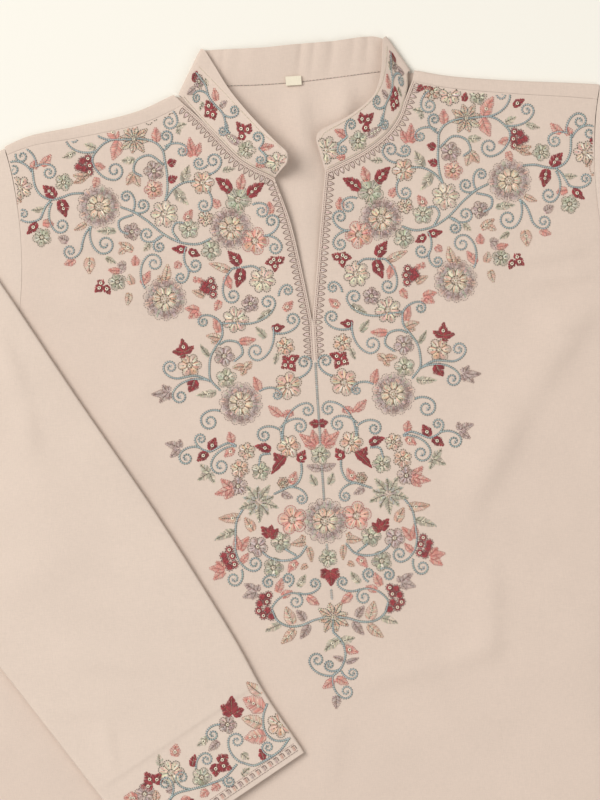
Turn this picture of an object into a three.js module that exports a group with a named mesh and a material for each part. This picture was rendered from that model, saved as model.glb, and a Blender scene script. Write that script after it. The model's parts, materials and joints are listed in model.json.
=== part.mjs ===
// A long-sleeved kurta laid flat on its back, with a band collar and a slit neck.
// Millimetres. X runs across the garment, Y runs up towards the neck and Z up off the table.
// While it is drawn, x = 0 is the centre front and y = 0 is the foot of the neck slit.
// The last lines move the whole garment so that its box stands on the origin.
import * as THREE from "three";
import { mergeVertices } from "three/addons/utils/BufferGeometryUtils.js";

// Driving sizes
const CLOTH = 1.2; // wall of every cloth panel
const BAND = 1.6; // wall of the stiffened collar band
const SEAM_GAP = 0.35; // between two pieces at a seam
const TABLE_MID = CLOTH / 2; // height of the middle of a panel that lies on the table
const FRONT_MID = TABLE_MID + CLOTH + SEAM_GAP; // and of a panel that lies on that one
const HEM_Y = -914; // 1080 mm below the shoulder by the neck
const HEM_HALF = 288;
const HIP = { y: -470, half: 262 }; // where the side slits start
const WAIST = { y: -240, half: 236 };
const TUBE_HALF = 1.0; // half the distance between a sleeve's two walls, middle to middle
const FOLD_HALF = 2.4; // radius of the turned sleeve at its fold, to the middle of the tube
const CUFF_WIDTH = 131;

// Shoulder from the neck to the tip, the turn of the back over the shoulder, and the slit's edge.
// The garment is laid a little askew, so each side has its own rows.
const SIDES = {
  left: {
    sign: -1,
    shoulder: [
      { x: 85.6, y: 163.4 },
      { x: 112, y: 153.2 },
      { x: 156, y: 145.4 },
      { x: 190, y: 140.6 },
      { x: 207, y: 134.6 },
    ],
    turn: { neck: 8, tip: 4.5, neckLean: [-0.684, 0.73], tipLean: [-0.24, 0.97] },
    slit: [
      { x: 0, y: 0, z: 2.4 },
      { x: 4.5, y: 33, z: 3.6 },
      { x: 11, y: 71, z: 5.4 },
      { x: 19.5, y: 102, z: 6.6 },
    ],
  },
  right: {
    sign: 1,
    shoulder: [
      { x: 81.9, y: 169.6 },
      { x: 104, y: 164.4 },
      { x: 148, y: 158.4 },
      { x: 190, y: 154.2 },
      { x: 211, y: 152 },
    ],
    turn: { neck: 5.5, tip: 9, neckLean: [0.263, 0.965], tipLean: [0.22, 0.975] },
    slit: [
      { x: 0, y: 0, z: 2.4 },
      { x: 5, y: 33, z: 3.2 },
      { x: 10.5, y: 71, z: 4.2 },
      { x: 15.5, y: 104, z: 5.0 },
    ],
  },
};

// Armhole, as steps from the shoulder tip to the underarm
const ARMHOLE = [
  { out: 0, down: 0 },
  { out: -4, down: 22 },
  { out: -7, down: 60 },
  { out: -5, down: 100 },
  { out: 2, down: 137 },
  { out: 14, down: 168 },
  { out: 38, down: 199 },
];

// Collar band, a row for each section: the seam edge, then the top edge.
// The front rows look up with their outer face, the back rows with their inner face.
const BAND_LEFT = [
  { seam: [-19.5, 102.5, 6.6], top: [-8.5, 112.5, 23.0] },
  { seam: [-24.0, 105.3, 6.8], top: [-10.5, 118.5, 22.0] },
  { seam: [-32.0, 109.5, 7.0], top: [-16.0, 124.5, 20.0] },
  { seam: [-43.0, 117.0, 7.0], top: [-24.0, 134.0, 16.0] },
  { seam: [-55.0, 130.0, 6.4], top: [-36.0, 149.0, 11.5] },
  { seam: [-68.0, 145.5, 5.4], top: [-48.5, 167.0, 7.5] },
  { seam: [-76.5, 156.5, 4.7], top: [-57.5, 184.0, 5.4] },
];
const BAND_BACK = [
  { seam: [-70.0, 167.3, 0.9], top: [-56.0, 194.6, 1.0] },
  { seam: [-52.0, 169.0, 0.9], top: [-45.0, 194.4, 1.6] },
  { seam: [-28.0, 168.5, 0.9], top: [-21.0, 194.0, 2.2] },
  { seam: [-2.0, 168.7, 0.9], top: [-1.0, 194.8, 2.4] },
  { seam: [28.0, 170.3, 0.9], top: [27.0, 195.4, 2.2] },
  { seam: [52.0, 172.0, 0.9], top: [48.0, 197.0, 1.6] },
  { seam: [69.0, 172.6, 0.9], top: [56.0, 196.8, 1.0] },
];
const BAND_RIGHT = [
  { seam: [76.8, 160.5, 4.9], top: [60.5, 184.0, 7.6] },
  { seam: [74.0, 151.0, 5.2], top: [59.5, 174.5, 9.0] },
  { seam: [70.0, 141.0, 5.4], top: [57.0, 164.5, 9.5] },
  { seam: [64.0, 132.5, 5.4], top: [53.0, 156.0, 9.2] },
  { seam: [57.0, 126.0, 5.3], top: [46.0, 149.5, 8.6] },
  { seam: [47.0, 119.3, 5.2], top: [37.0, 143.5, 8.0] },
  { seam: [37.0, 114.0, 5.1], top: [29.0, 139.5, 7.4] },
  { seam: [26.0, 109.3, 5.0], top: [19.0, 135.5, 7.0] },
  { seam: [15.5, 105.0, 5.0], top: [9.5, 131.0, 6.8] },
];
// Where the band turns over at each side of the neck: its outermost line, seen from above
const TURN_LEFT = { seam: [-84, 164.5], top: [-66, 196] };
const TURN_RIGHT = { seam: [79.8, 171.5], top: [64.5, 196.5] };
const TURN_HALF = 1.9; // radius of that turn, to the middle of the band
const BAND_CORNER = 6; // rounding of the band's front corners
const BAND_RIPPLES = { count: 5, height: 0.7 }; // soft waves along the back's top edge

// Left sleeve, turned over across the front: the fold, then the two edges down to the cuff
const LEFT_FOLD = { top: [-257, 108], under: [-324, -93] };
const LEFT_TOP_EDGE = [
  [-257, 108],
  [-216, 40],
  [-169, -41],
  [-115, -132],
  [-68, -219],
  [-51, -255],
  [-25, -300],
];
const LEFT_UNDER_EDGE = [
  [-324, -93],
  [-280, -158],
  [-233, -226],
  [-182, -301],
  [-138, -366],
];
// Right sleeve, laid out to the side
const RIGHT_TOP_LENGTH = 527;
const RIGHT_SLOPE = 35; // degrees below the level

// Soft folds: a ridge from one place to another, its width and its height
const FRONT_FOLDS = [
  { from: [196, 42], to: [92, 14], width: 24, height: 1.7 },
  { from: [205, 8], to: [120, -40], width: 30, height: 1.3 },
  { from: [52, -268], to: [150, -228], width: 26, height: 1.8 },
  { from: [150, -60], to: [186, -430], width: 46, height: 1.9 },
  { from: [40, -330], to: [24, -620], width: 40, height: 1.5 },
  { from: [-70, -430], to: [-96, -912], width: 40, height: 2.3 },
  { from: [86, -560], to: [104, -912], width: 36, height: 2.4 },
  { from: [-196, -640], to: [-222, -912], width: 34, height: 2.0 },
  { from: [206, -620], to: [226, -912], width: 32, height: 1.8 },
  { from: [6, -700], to: [2, -912], width: 30, height: 1.6 },
];
const LEFT_SLEEVE_FOLDS = [
  { from: [-222, -60], to: [-150, -128], width: 20, height: 0.9 },
  { from: [-196, -222], to: [-116, -236], width: 11, height: 1.0 },
  { from: [-182, -262], to: [-132, -300], width: 10, height: 1.1 },
  { from: [-236, -180], to: [-170, -150], width: 22, height: 0.8 },
];
const RIGHT_SLEEVE_FOLDS = [
  { from: [262, 92], to: [330, -30], width: 22, height: 1.2 },
  { from: [350, 40], to: [392, -74], width: 20, height: 1.1 },
  { from: [420, -40], to: [548, -118], width: 24, height: 1.3 },
  { from: [540, -96], to: [560, -170], width: 16, height: 1.0 },
];

// Fineness of the mesh
const PANEL_COLUMNS = 9;
const SKIRT_ROWS = { front: 12, back: 6 };
const ARMHOLE_ROWS = 12;
const SLEEVE_ROWS = 12;
const BAND_STEPS = { front: 2, turn: 1, back: 4 }; // from one section of the band to the next
const BAND_COLUMNS = 2;
const CORNER_CUTS = [0, 0.04, 0.2, 0.5, 1]; // shares of the band's rounded corner

const UP = new THREE.Vector3(0, 0, 1);

// A single layer of points and triangles. Points in the same place are shared.
class Sheet {
  constructor() {
    this.points = [];
    this.faces = [];
    this.known = new Map();
  }

  vertex(point) {
    const key = point.toArray().map((value) => Math.round(value * 1e3)).join(" ");
    if (!this.known.has(key)) {
      this.known.set(key, this.points.length);
      this.points.push(point);
    }
    return this.known.get(key);
  }

  face(a, b, c) {
    if (a !== b && b !== c && c !== a) this.faces.push([a, b, c]);
  }

  // Adds the quads between lines of points that all have the same length
  lines(rows, turned = false) {
    const ids = rows.map((row) => row.map((point) => this.vertex(point)));
    for (let i = 0; i + 1 < ids.length; i++) {
      for (let j = 0; j + 1 < ids[i].length; j++) {
        const quad = [ids[i][j], ids[i][j + 1], ids[i + 1][j + 1], ids[i + 1][j]];
        if (turned) quad.reverse();
        this.face(quad[0], quad[1], quad[2]);
        this.face(quad[0], quad[2], quad[3]);
      }
    }
  }

  normals() {
    const sums = this.points.map(() => new THREE.Vector3());
    for (const [a, b, c] of this.faces) {
      const ab = this.points[b].clone().sub(this.points[a]);
      const ac = this.points[c].clone().sub(this.points[a]);
      const area = ab.cross(ac);
      for (const corner of [a, b, c]) sums[corner].add(area);
    }
    return sums.map((sum) => sum.normalize());
  }

  // The closed wall of the given thickness, half on each side of the layer
  wall(thickness) {
    const normals = this.normals();
    const count = this.points.length;
    const side = (way) =>
      this.points.flatMap((point, i) =>
        point.clone().addScaledVector(normals[i], (way * thickness) / 2).toArray(),
      );
    const index = [];
    const edges = new Map();
    for (const [a, b, c] of this.faces) {
      index.push(a, b, c, c + count, b + count, a + count);
      for (const [p, q] of [[a, b], [b, c], [c, a]]) {
        if (!edges.delete(`${q} ${p}`)) edges.set(`${p} ${q}`, [p, q]);
      }
    }
    for (const [p, q] of edges.values()) {
      index.push(q, p, p + count, q, p + count, q + count);
    }
    const geometry = new THREE.BufferGeometry();
    const positions = [...side(1), ...side(-1)];
    geometry.setAttribute("position", new THREE.Float32BufferAttribute(positions, 3));
    geometry.setIndex(index);
    return geometry;
  }
}

const smooth = (value) => {
  const t = THREE.MathUtils.clamp(value, 0, 1);
  return t * t * (3 - 2 * t);
};

const curveOf = (rows) =>
  new THREE.CatmullRomCurve3(
    rows.map(([x, y, z = 0]) => new THREE.Vector3(x, y, z)),
    false,
    "centripetal",
  );

const steps = (count) => Array.from({ length: count + 1 }, (_, i) => i / count);

// Height that the soft folds of a list give at a place
function foldHeight(folds, x, y) {
  let height = 0;
  for (const fold of folds) {
    const [x0, y0] = fold.from;
    const dx = fold.to[0] - x0;
    const dy = fold.to[1] - y0;
    const length = Math.hypot(dx, dy);
    const along = ((x - x0) * dx + (y - y0) * dy) / length ** 2;
    const across = ((x - x0) * dy - (y - y0) * dx) / length;
    const ends = smooth(1.25 - Math.abs(2 * along - 1) * 1.1);
    height += fold.height * ends * Math.exp(-((across / fold.width) ** 2) * 2);
  }
  return height;
}

// Seam edge and top edge of the band as it turns over at one side of the neck
function bandTurn(line, outward) {
  const seam = new THREE.Vector3(...line.seam, 0);
  const top = new THREE.Vector3(...line.top, 0);
  const out = top.clone().sub(seam).cross(UP).normalize().multiplyScalar(outward);
  const axisZ = BAND / 2 + TURN_HALF + 0.2;
  return [90, 45, 0, -45, -90].map((degrees) => {
    const angle = THREE.MathUtils.degToRad(degrees);
    const away = TURN_HALF * Math.cos(angle) - TURN_HALF - BAND / 2;
    const shift = out.clone().multiplyScalar(away);
    shift.z = axisZ + TURN_HALF * Math.sin(angle);
    return { seam: seam.clone().add(shift).toArray(), top: top.clone().add(shift).toArray() };
  });
}

const stepped = (rows, count) => rows.map((row) => ({ ...row, count }));
const BAND_ROWS = [
  ...stepped(BAND_LEFT, BAND_STEPS.front),
  ...stepped(bandTurn(TURN_LEFT, -1), BAND_STEPS.turn),
  ...stepped(BAND_BACK, BAND_STEPS.back),
  ...stepped(bandTurn(TURN_RIGHT, 1).reverse(), BAND_STEPS.turn),
  ...stepped(BAND_RIGHT, BAND_STEPS.front),
];
const bandSeam = curveOf(BAND_ROWS.map((row) => row.seam));
const bandTop = curveOf(BAND_ROWS.map((row) => row.top));

// The neckline of a panel follows the band's seam edge, moved away from the band
function necklinePoint([seamEdge, topEdge]) {
  const seam = new THREE.Vector3(...seamEdge);
  const away = seam.clone().sub(new THREE.Vector3(...topEdge));
  const tilt = Math.abs(away.z) / away.length();
  const gap = SEAM_GAP + 0.3 + (BAND / 2) * tilt;
  away.z = 0;
  return seam.add(away.normalize().multiplyScalar(gap));
}

function shoulderCurve(side) {
  return curveOf(side.shoulder.map((row) => [side.sign * row.x, row.y]));
}

function armholeCurve(side) {
  const tip = side.shoulder.at(-1);
  const rows = ARMHOLE.map((row) => [side.sign * (tip.x + row.out), tip.y - row.down]);
  return curveOf(rows);
}

// The back's turned edge over one shoulder, at a share of the way from the neck to the tip
function shoulderTurn(side, share) {
  const curve = shoulderCurve(side);
  const fold = curve.getPoint(share);
  const along = curve.getTangent(share);
  const square = new THREE.Vector3(-along.y, along.x, 0).multiplyScalar(side.sign);
  const { neckLean, tipLean } = side.turn;
  const out = new THREE.Vector3(...neckLean, 0)
    .lerp(square, smooth(share * 6))
    .lerp(new THREE.Vector3(...tipLean, 0), smooth(share * 6 - 5))
    .normalize();
  const width = THREE.MathUtils.lerp(side.turn.neck, side.turn.tip, share);
  const half = THREE.MathUtils.lerp(1.45, TUBE_HALF, share);
  return { fold, out, width, half };
}

// Edge of that turn on the front, or the front's own edge a gap further down
function turnEdge(side, share, gap) {
  const { fold, out, width, half } = shoulderTurn(side, share);
  return fold.addScaledVector(out, -width - gap).setZ(TABLE_MID + 2 * half);
}

// One edge of a half panel as stretches of rows that share their counts with the other edge
function sampled(stretches) {
  return stretches.flatMap(({ curve, from = 0, to = 1, rows }, i) =>
    steps(rows)
      .slice(i ? 1 : 0)
      .map((t) => curve.getPoint(THREE.MathUtils.lerp(from, to, t))),
  );
}

function sideSeam(side) {
  const under = armholeCurve(side).getPoint(1);
  return curveOf([
    [side.sign * HEM_HALF, HEM_Y],
    [side.sign * HIP.half, HIP.y],
    [side.sign * WAIST.half, WAIST.y],
    [under.x, under.y],
  ]);
}

function frontHalf(side, band) {
  const armhole = armholeCurve(side);
  const slit = side.slit.map((row) => [side.sign * row.x, row.y, row.z]);
  const neckline = band.slice(0, -1).map((row) => necklinePoint([row.seam, row.top]).toArray());
  const corner = turnEdge(side, 0, SEAM_GAP);
  neckline.push(corner.toArray());
  slit[slit.length - 1] = neckline[0];
  const inner = sampled([
    { curve: curveOf([[0, HEM_Y, FRONT_MID], [0, -60, FRONT_MID]]), rows: SKIRT_ROWS.front },
    { curve: curveOf([[0, -60, FRONT_MID], [0, 0, FRONT_MID]]), rows: 1 },
    { curve: curveOf(slit), rows: ARMHOLE_ROWS - neckline.length },
    { curve: curveOf(neckline), rows: neckline.length - 1 },
  ]);
  const outer = sampled([
    { curve: sideSeam(side), rows: SKIRT_ROWS.front },
    { curve: armhole, from: 1, to: 0, rows: ARMHOLE_ROWS },
  ]);
  const last = inner.length - 1;
  return inner.map((start, i) =>
    steps(PANEL_COLUMNS).map((u) => {
      if (i === last) return turnEdge(side, u, SEAM_GAP);
      const point = start.clone().lerp(outer[i], u);
      const fromEdge = Math.hypot(point.x - start.x, point.y - start.y);
      const lip = (start.z - FRONT_MID) * (1 - smooth(fromEdge / 46));
      const rise = 0.5 * (1 - smooth((last - i) / 4));
      const folds = foldHeight(FRONT_FOLDS, point.x, point.y);
      const held = start.z > FRONT_MID ? smooth(u * 4) : 1;
      point.z = FRONT_MID + Math.max(lip, rise, 0) + folds * held;
      return point;
    }),
  );
}

function frontPanel() {
  const sheet = new Sheet();
  sheet.lines(frontHalf(SIDES.right, [...BAND_RIGHT].reverse()));
  sheet.lines(frontHalf(SIDES.left, BAND_LEFT), true);
  return sheet.wall(CLOTH);
}

// The line down the back below the neck's end of one shoulder
function backLine(side) {
  const neck = side.shoulder[0];
  const x = side.sign * neck.x;
  return sampled([
    { curve: curveOf([[x * 1.3, HEM_Y], [x, -65]]), rows: SKIRT_ROWS.back },
    { curve: curveOf([[x, -65], [x, neck.y]]), rows: ARMHOLE_ROWS },
  ]);
}

function backPanel() {
  const sheet = new Sheet();
  const { left, right } = SIDES;
  const turns = [bandTurn(TURN_LEFT, -1).at(-1), bandTurn(TURN_RIGHT, 1).at(-1)];
  const neckRows = [turns[0], ...BAND_BACK, turns[1]];
  const neckline = [
    shoulderCurve(left).getPoint(0),
    ...neckRows.map((row) => necklinePoint([row.seam, row.top])),
    shoulderCurve(right).getPoint(0),
  ];
  const lines = [backLine(left), backLine(right)];
  const width = neckline.at(-1).x - neckline[0].x;
  const inside = lines[0].map((start, i) =>
    neckline.map((edge) => {
      const share = (edge.x - neckline[0].x) / width;
      const point = start.clone().lerp(lines[1][i], share);
      if (i === lines[0].length - 1) point.copy(edge);
      return point.setZ(TABLE_MID);
    }),
  );
  sheet.lines(inside);
  for (const [side, line] of [[left, lines[0]], [right, lines[1]]]) {
    const outer = sampled([
      { curve: sideSeam(side), rows: SKIRT_ROWS.back },
      { curve: armholeCurve(side), from: 1, to: 0, rows: ARMHOLE_ROWS },
    ]);
    const outside = line.map((start, i) =>
      steps(PANEL_COLUMNS).map((u) => {
        const top = i === line.length - 1;
        const point = top ? shoulderCurve(side).getPoint(u) : start.clone().lerp(outer[i], u);
        return point.setZ(TABLE_MID);
      }),
    );
    const turned = [0, 45, 90, 135, 180].map((degrees) =>
      steps(PANEL_COLUMNS).map((u) => {
        const { fold, out, half } = shoulderTurn(side, u);
        const angle = THREE.MathUtils.degToRad(degrees);
        const point = fold.clone().addScaledVector(out, half * Math.sin(angle));
        return point.setZ(TABLE_MID + half * (1 - Math.cos(angle)));
      }),
    );
    const edge = steps(PANEL_COLUMNS).map((u) => turnEdge(side, u, 0));
    sheet.lines(outside, side.sign < 0);
    sheet.lines([...turned, edge], side.sign < 0);
  }
  return sheet.wall(CLOTH);
}

// Rings of a flattened sleeve, from the armhole to the cuff. Each ring's line runs across its
// middle, from the top edge to the underarm edge, and the ring's front wall lies on the side
// that its normal points to. Both edges are turned squarely to their own run.
function sleeveRings(rings) {
  const tips = rings.map(({ line }) => [line(0), line(1)]);
  const outward = (i, end) => {
    const before = tips[Math.max(i - 1, 0)][end];
    const after = tips[Math.min(i + 1, tips.length - 1)][end];
    const out = after.clone().sub(before).cross(rings[i].normal).normalize();
    const across = tips[i][end].clone().sub(tips[i][1 - end]);
    return out.dot(across) < 0 ? out.negate() : out;
  };
  return rings.map(({ line, normal, frontPuff, backPuff }, i) => {
    const ends = tips[i].map((tip, end) => ({ tip, out: outward(i, end) }));
    const middle = (share) => {
      const end = ends[share];
      return end ? end.tip.clone().addScaledVector(end.out, -TUBE_HALF) : line(share);
    };
    const face = (way, puff) =>
      steps(ARMHOLE_ROWS).map((share) => {
        const point = middle(share);
        return point.addScaledVector(normal, way * (TUBE_HALF + puff(share, point)));
      });
    const edge = ({ tip, out }) =>
      [45, 0, -45].map((degrees) => {
        const angle = THREE.MathUtils.degToRad(degrees);
        return tip
          .clone()
          .addScaledVector(out, TUBE_HALF * (Math.cos(angle) - 1))
          .addScaledVector(normal, TUBE_HALF * Math.sin(angle));
      });
    const ring = [
      ...face(1, frontPuff),
      ...edge(ends[1]),
      ...face(-1, backPuff).reverse(),
      ...edge(ends[0]).reverse(),
    ];
    return [...ring, ring[0].clone()];
  });
}

const roundness = (share) => Math.sin(Math.PI * THREE.MathUtils.clamp(share, 0, 1)) ** 0.7;

const lineBetween = (start, end) => (share) => start.clone().lerp(end, share);

const flat = () => 0;

// The armhole end of a sleeve, moved clear of the panels
function armholeLine(side) {
  const curve = armholeCurve(side);
  return (share) => {
    const point = curve.getPoint(share);
    const along = curve.getTangent(share);
    const out = new THREE.Vector3(-along.y, along.x, 0).multiplyScalar(side.sign);
    point.addScaledVector(out, SEAM_GAP + 0.05 + 0.5 * Math.abs(2 * share - 1) ** 8);
    point.z = TABLE_MID + TUBE_HALF;
    return point;
  };
}

function leftSleeve() {
  const sheet = new Sheet();
  const armhole = armholeLine(SIDES.left);
  const low = TABLE_MID + TUBE_HALF;
  const foldTop = new THREE.Vector3(...LEFT_FOLD.top, low);
  const foldUnder = new THREE.Vector3(...LEFT_FOLD.under, low);
  const foldLine = lineBetween(foldTop, foldUnder);
  const rings = [0, 0.33, 0.67].map((share) => ({
    line: (w) => armhole(w).lerp(foldLine(w), share),
    normal: UP,
    frontPuff: flat,
    backPuff: flat,
  }));
  const out = foldTop.clone().sub(foldUnder).cross(UP).normalize().negate();
  for (const degrees of [0, 30, 60, 90, 120, 150, 180]) {
    const angle = THREE.MathUtils.degToRad(degrees);
    const shift = out.clone().multiplyScalar(FOLD_HALF * Math.sin(angle));
    shift.z = FOLD_HALF * (1 - Math.cos(angle));
    rings.push({
      line: (w) => foldLine(w).add(shift),
      normal: UP.clone().multiplyScalar(Math.cos(angle)).addScaledVector(out, -Math.sin(angle)),
      frontPuff: flat,
      backPuff: flat,
    });
  }
  const high = low + 2 * FOLD_HALF;
  const topEdge = curveOf(LEFT_TOP_EDGE.map(([x, y]) => [x, y, high]));
  const underEdge = curveOf(LEFT_UNDER_EDGE.map(([x, y]) => [x, y, high]));
  for (const t of steps(SLEEVE_ROWS).slice(1)) {
    const fullness = 1.5 * smooth(t * 4);
    rings.push({
      line: lineBetween(topEdge.getPoint(t), underEdge.getPoint(t)),
      normal: UP.clone().negate(),
      frontPuff: flat,
      backPuff: (share, at) =>
        fullness * roundness(share) + foldHeight(LEFT_SLEEVE_FOLDS, at.x, at.y),
    });
  }
  sheet.lines(sleeveRings(rings));
  return sheet.wall(CLOTH);
}

function rightSleeve() {
  const sheet = new Sheet();
  const armhole = armholeLine(SIDES.right);
  const slope = THREE.MathUtils.degToRad(RIGHT_SLOPE);
  const along = new THREE.Vector3(Math.cos(slope), -Math.sin(slope), 0);
  const across = new THREE.Vector3(-Math.sin(slope), -Math.cos(slope), 0);
  const cuffTop = armhole(0).addScaledVector(along, RIGHT_TOP_LENGTH);
  const cuff = lineBetween(cuffTop, cuffTop.clone().addScaledVector(across, CUFF_WIDTH));
  const rings = steps(SLEEVE_ROWS + 1).map((t) => ({
    line: (w) => armhole(w).lerp(cuff(w), t),
    normal: UP,
    frontPuff: (share, at) =>
      1.5 * smooth(t * 5) * roundness(share) + foldHeight(RIGHT_SLEEVE_FOLDS, at.x, at.y),
    backPuff: flat,
  }));
  sheet.lines(sleeveRings(rings), true);
  return sheet.wall(CLOTH);
}

function collarBand() {
  const sheet = new Sheet();
  const last = BAND_ROWS.length - 1;
  const ends = CORNER_CUTS.map((cut) => cut * BAND_CORNER);
  const lengths = [bandSeam.getPoint(1 / last), bandSeam.getPoint(1 - 1 / last)].map((point, i) =>
    point.distanceTo(bandSeam.getPoint(i)),
  );
  const stations = BAND_ROWS.slice(0, -1).flatMap(({ count }, i) =>
    steps(count).slice(0, -1).map((t) => (i + t) / last),
  );
  const near = ends.map((cut) => cut / lengths[0] / last);
  const far = ends.map((cut) => 1 - cut / lengths[1] / last).reverse();
  const between = stations.filter((t) => t > near.at(-1) + 0.004 && t < far[0] - 0.004);
  const rows = [...near, ...between, ...far].map((t) => {
    const seam = bandSeam.getPoint(t);
    const top = bandTop.getPoint(t);
    const fromEnd = Math.min(t * lengths[0], (1 - t) * lengths[1]) * last;
    const missing = Math.max(BAND_CORNER - fromEnd, 0);
    const cut = BAND_CORNER - Math.sqrt(BAND_CORNER ** 2 - missing ** 2);
    const reach = seam.distanceTo(top);
    const backShare = THREE.MathUtils.clamp((t * last - 12) / 6, 0, 1);
    const calm = BAND_RIPPLES.height * Math.sin(Math.PI * backShare) ** 2;
    const wave = calm * (1 + Math.cos(2 * Math.PI * BAND_RIPPLES.count * backShare));
    return steps(BAND_COLUMNS).map((v) => {
      const point = seam.clone().lerp(top, (v * (reach - cut)) / reach);
      point.z += wave * v * 0.8;
      return point;
    });
  });
  sheet.lines(rows);
  return sheet.wall(BAND);
}

// A small folded size tab, left blank, sewn into the seam at the back of the neck
function sizeTab() {
  const half = { width: 5.5, height: 3, thick: 0.5 };
  const shape = new THREE.Shape();
  shape.moveTo(-half.height, -half.thick);
  shape.lineTo(half.height, -half.thick);
  shape.lineTo(half.height, half.thick);
  shape.lineTo(-half.height, half.thick);
  shape.absarc(-half.height, 0, half.thick, Math.PI / 2, (3 * Math.PI) / 2, false);
  const geometry = new THREE.ExtrudeGeometry(shape, {
    depth: 2 * half.width,
    bevelEnabled: false,
    curveSegments: 6,
  });
  geometry.translate(0, 0, -half.width);
  geometry.rotateX(Math.PI / 2);
  geometry.rotateZ(Math.PI / 2);
  geometry.deleteAttribute("normal");
  geometry.deleteAttribute("uv");
  return mergeVertices(geometry);
}

const clothLook = { color: 0xdcc8ba, roughness: 0.72, metalness: 0 };
const tabLook = { color: 0xefe3cc, roughness: 0.8, metalness: 0 };

function named(name, geometry, look) {
  geometry.computeVertexNormals();
  const mesh = new THREE.Mesh(geometry, new THREE.MeshStandardMaterial(look));
  mesh.name = name;
  return mesh;
}

const kurta = new THREE.Group();
kurta.add(
  named("back", backPanel(), clothLook),
  named("front", frontPanel(), clothLook),
  named("sleeve_left", leftSleeve(), clothLook),
  named("sleeve_right", rightSleeve(), clothLook),
  named("collar", collarBand(), clothLook),
);
const tab = named("size_tab", sizeTab(), tabLook);
tab.position.set(-2.5, 169.5, BAND + SEAM_GAP + 1.1);
kurta.add(tab);

kurta.updateMatrixWorld(true);
const box = new THREE.Box3().setFromObject(kurta, true);
const middle = box.getCenter(new THREE.Vector3());
kurta.position.set(-middle.x, -middle.y, -box.min.z);

export default kurta;
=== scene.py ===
"""Embroidered kurta laid flat: the cloth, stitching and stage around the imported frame.

Lengths in the tables below are millimetres on the garment as it is drawn: x = 0 is the
centre front, y = 0 is the foot of the neck slit, y runs up to the neck and z off the table.
"""

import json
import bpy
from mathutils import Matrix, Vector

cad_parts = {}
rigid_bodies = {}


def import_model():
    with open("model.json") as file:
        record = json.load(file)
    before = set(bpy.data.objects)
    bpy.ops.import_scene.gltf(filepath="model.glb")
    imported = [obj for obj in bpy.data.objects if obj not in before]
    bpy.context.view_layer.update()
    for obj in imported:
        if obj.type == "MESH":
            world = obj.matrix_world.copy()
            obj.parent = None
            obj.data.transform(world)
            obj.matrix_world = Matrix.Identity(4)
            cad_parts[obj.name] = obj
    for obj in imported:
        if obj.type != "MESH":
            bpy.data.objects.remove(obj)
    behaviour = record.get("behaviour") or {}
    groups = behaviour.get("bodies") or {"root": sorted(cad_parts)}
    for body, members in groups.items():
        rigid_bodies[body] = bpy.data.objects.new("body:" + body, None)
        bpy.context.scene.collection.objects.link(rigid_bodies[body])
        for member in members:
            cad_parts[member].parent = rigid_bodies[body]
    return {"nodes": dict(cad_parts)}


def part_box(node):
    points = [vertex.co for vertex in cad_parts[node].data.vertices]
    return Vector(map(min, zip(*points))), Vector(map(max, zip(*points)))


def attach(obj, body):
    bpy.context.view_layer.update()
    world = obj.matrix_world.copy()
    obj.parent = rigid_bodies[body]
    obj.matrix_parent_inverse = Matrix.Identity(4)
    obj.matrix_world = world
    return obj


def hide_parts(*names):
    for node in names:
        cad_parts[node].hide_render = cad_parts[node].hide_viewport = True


bl_info = {
    "name": "Embroidered Kurta",
    "version": (1, 0, 0),
    "blender": (4, 5, 0),
    "location": "3D View > Sidebar > Kurta",
    "description": "Builds a laid out kurta with raised thread embroidery",
    "category": "Add Mesh",
}

from math import cos, pi, radians, sin

import bpy
import numpy as np
from bpy.props import FloatProperty, FloatVectorProperty, PointerProperty
from bpy.types import Operator, Panel, PropertyGroup
from mathutils import Vector
from mathutils.bvhtree import BVHTree

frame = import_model()

MM = 0.001

# Where the drawing's zero lies in the frame, taken from the size tab
TAB_CENTRE_X = -2.5
TAB_TOP_Y = 172.5
TAB_LOW, TAB_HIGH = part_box("size_tab")
ORIGIN = np.array(
    [(TAB_LOW.x + TAB_HIGH.x) / 2 / MM - TAB_CENTRE_X, TAB_HIGH.y / MM - TAB_TOP_Y, 0.0]
)

# Driving sizes, the same as the frame's
CLOTH = 1.2
BAND = 1.6
SEAM_GAP = 0.07
LAYER_GAP = 0.35
EDGE_SHARE = 0.62
MERGE_GRID = 200
TABLE_MID = CLOTH / 2
FRONT_MID = TABLE_MID + CLOTH + LAYER_GAP
HEM_Y = -914
CHEST_Y = -380
HEM_HALF = 288
SEAM_SPLIT = 0.42
HIP = (262, -470)
WAIST = (236, -240)
TUBE_HALF = 1.0
FOLD_HALF = 2.4
CUFF_WIDTH = 131
LONG_SLOPE = 1.6
SHORT_SLOPE = 0.85
RIGHT_TOP_LENGTH = 527
RIGHT_SLOPE = 35
TURN_HALF = 1.9
BAND_CORNER = 6
PUCKER = 0.22
WORKED_FROM_Y = -330
LIP_REACH = 46
UNDER_Y = -65
BAND_RIPPLES = (5, 0.25)

SIDES = {
    "left": {
        "sign": -1,
        "shoulder": [(85.6, 163.4), (112, 153.2), (156, 145.4), (190, 140.6), (207, 134.6)],
        "turn": (8, 4.5),
        "neck_lean": (-0.684, 0.73, 0),
        "tip_lean": (-0.24, 0.97, 0),
        "slit": [(0, 0, 2.4), (4.5, 33, 3.6), (11, 71, 5.4), (19.5, 102, 6.6)],
    },
    "right": {
        "sign": 1,
        "shoulder": [(81.9, 169.6), (104, 164.4), (148, 158.4), (190, 154.2), (211, 152)],
        "turn": (5.5, 9),
        "neck_lean": (0.263, 0.965, 0),
        "tip_lean": (0.22, 0.975, 0),
        "slit": [(0, 0, 2.4), (5, 33, 3.2), (10.5, 71, 4.2), (15.5, 104, 5.0)],
    },
}
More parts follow.
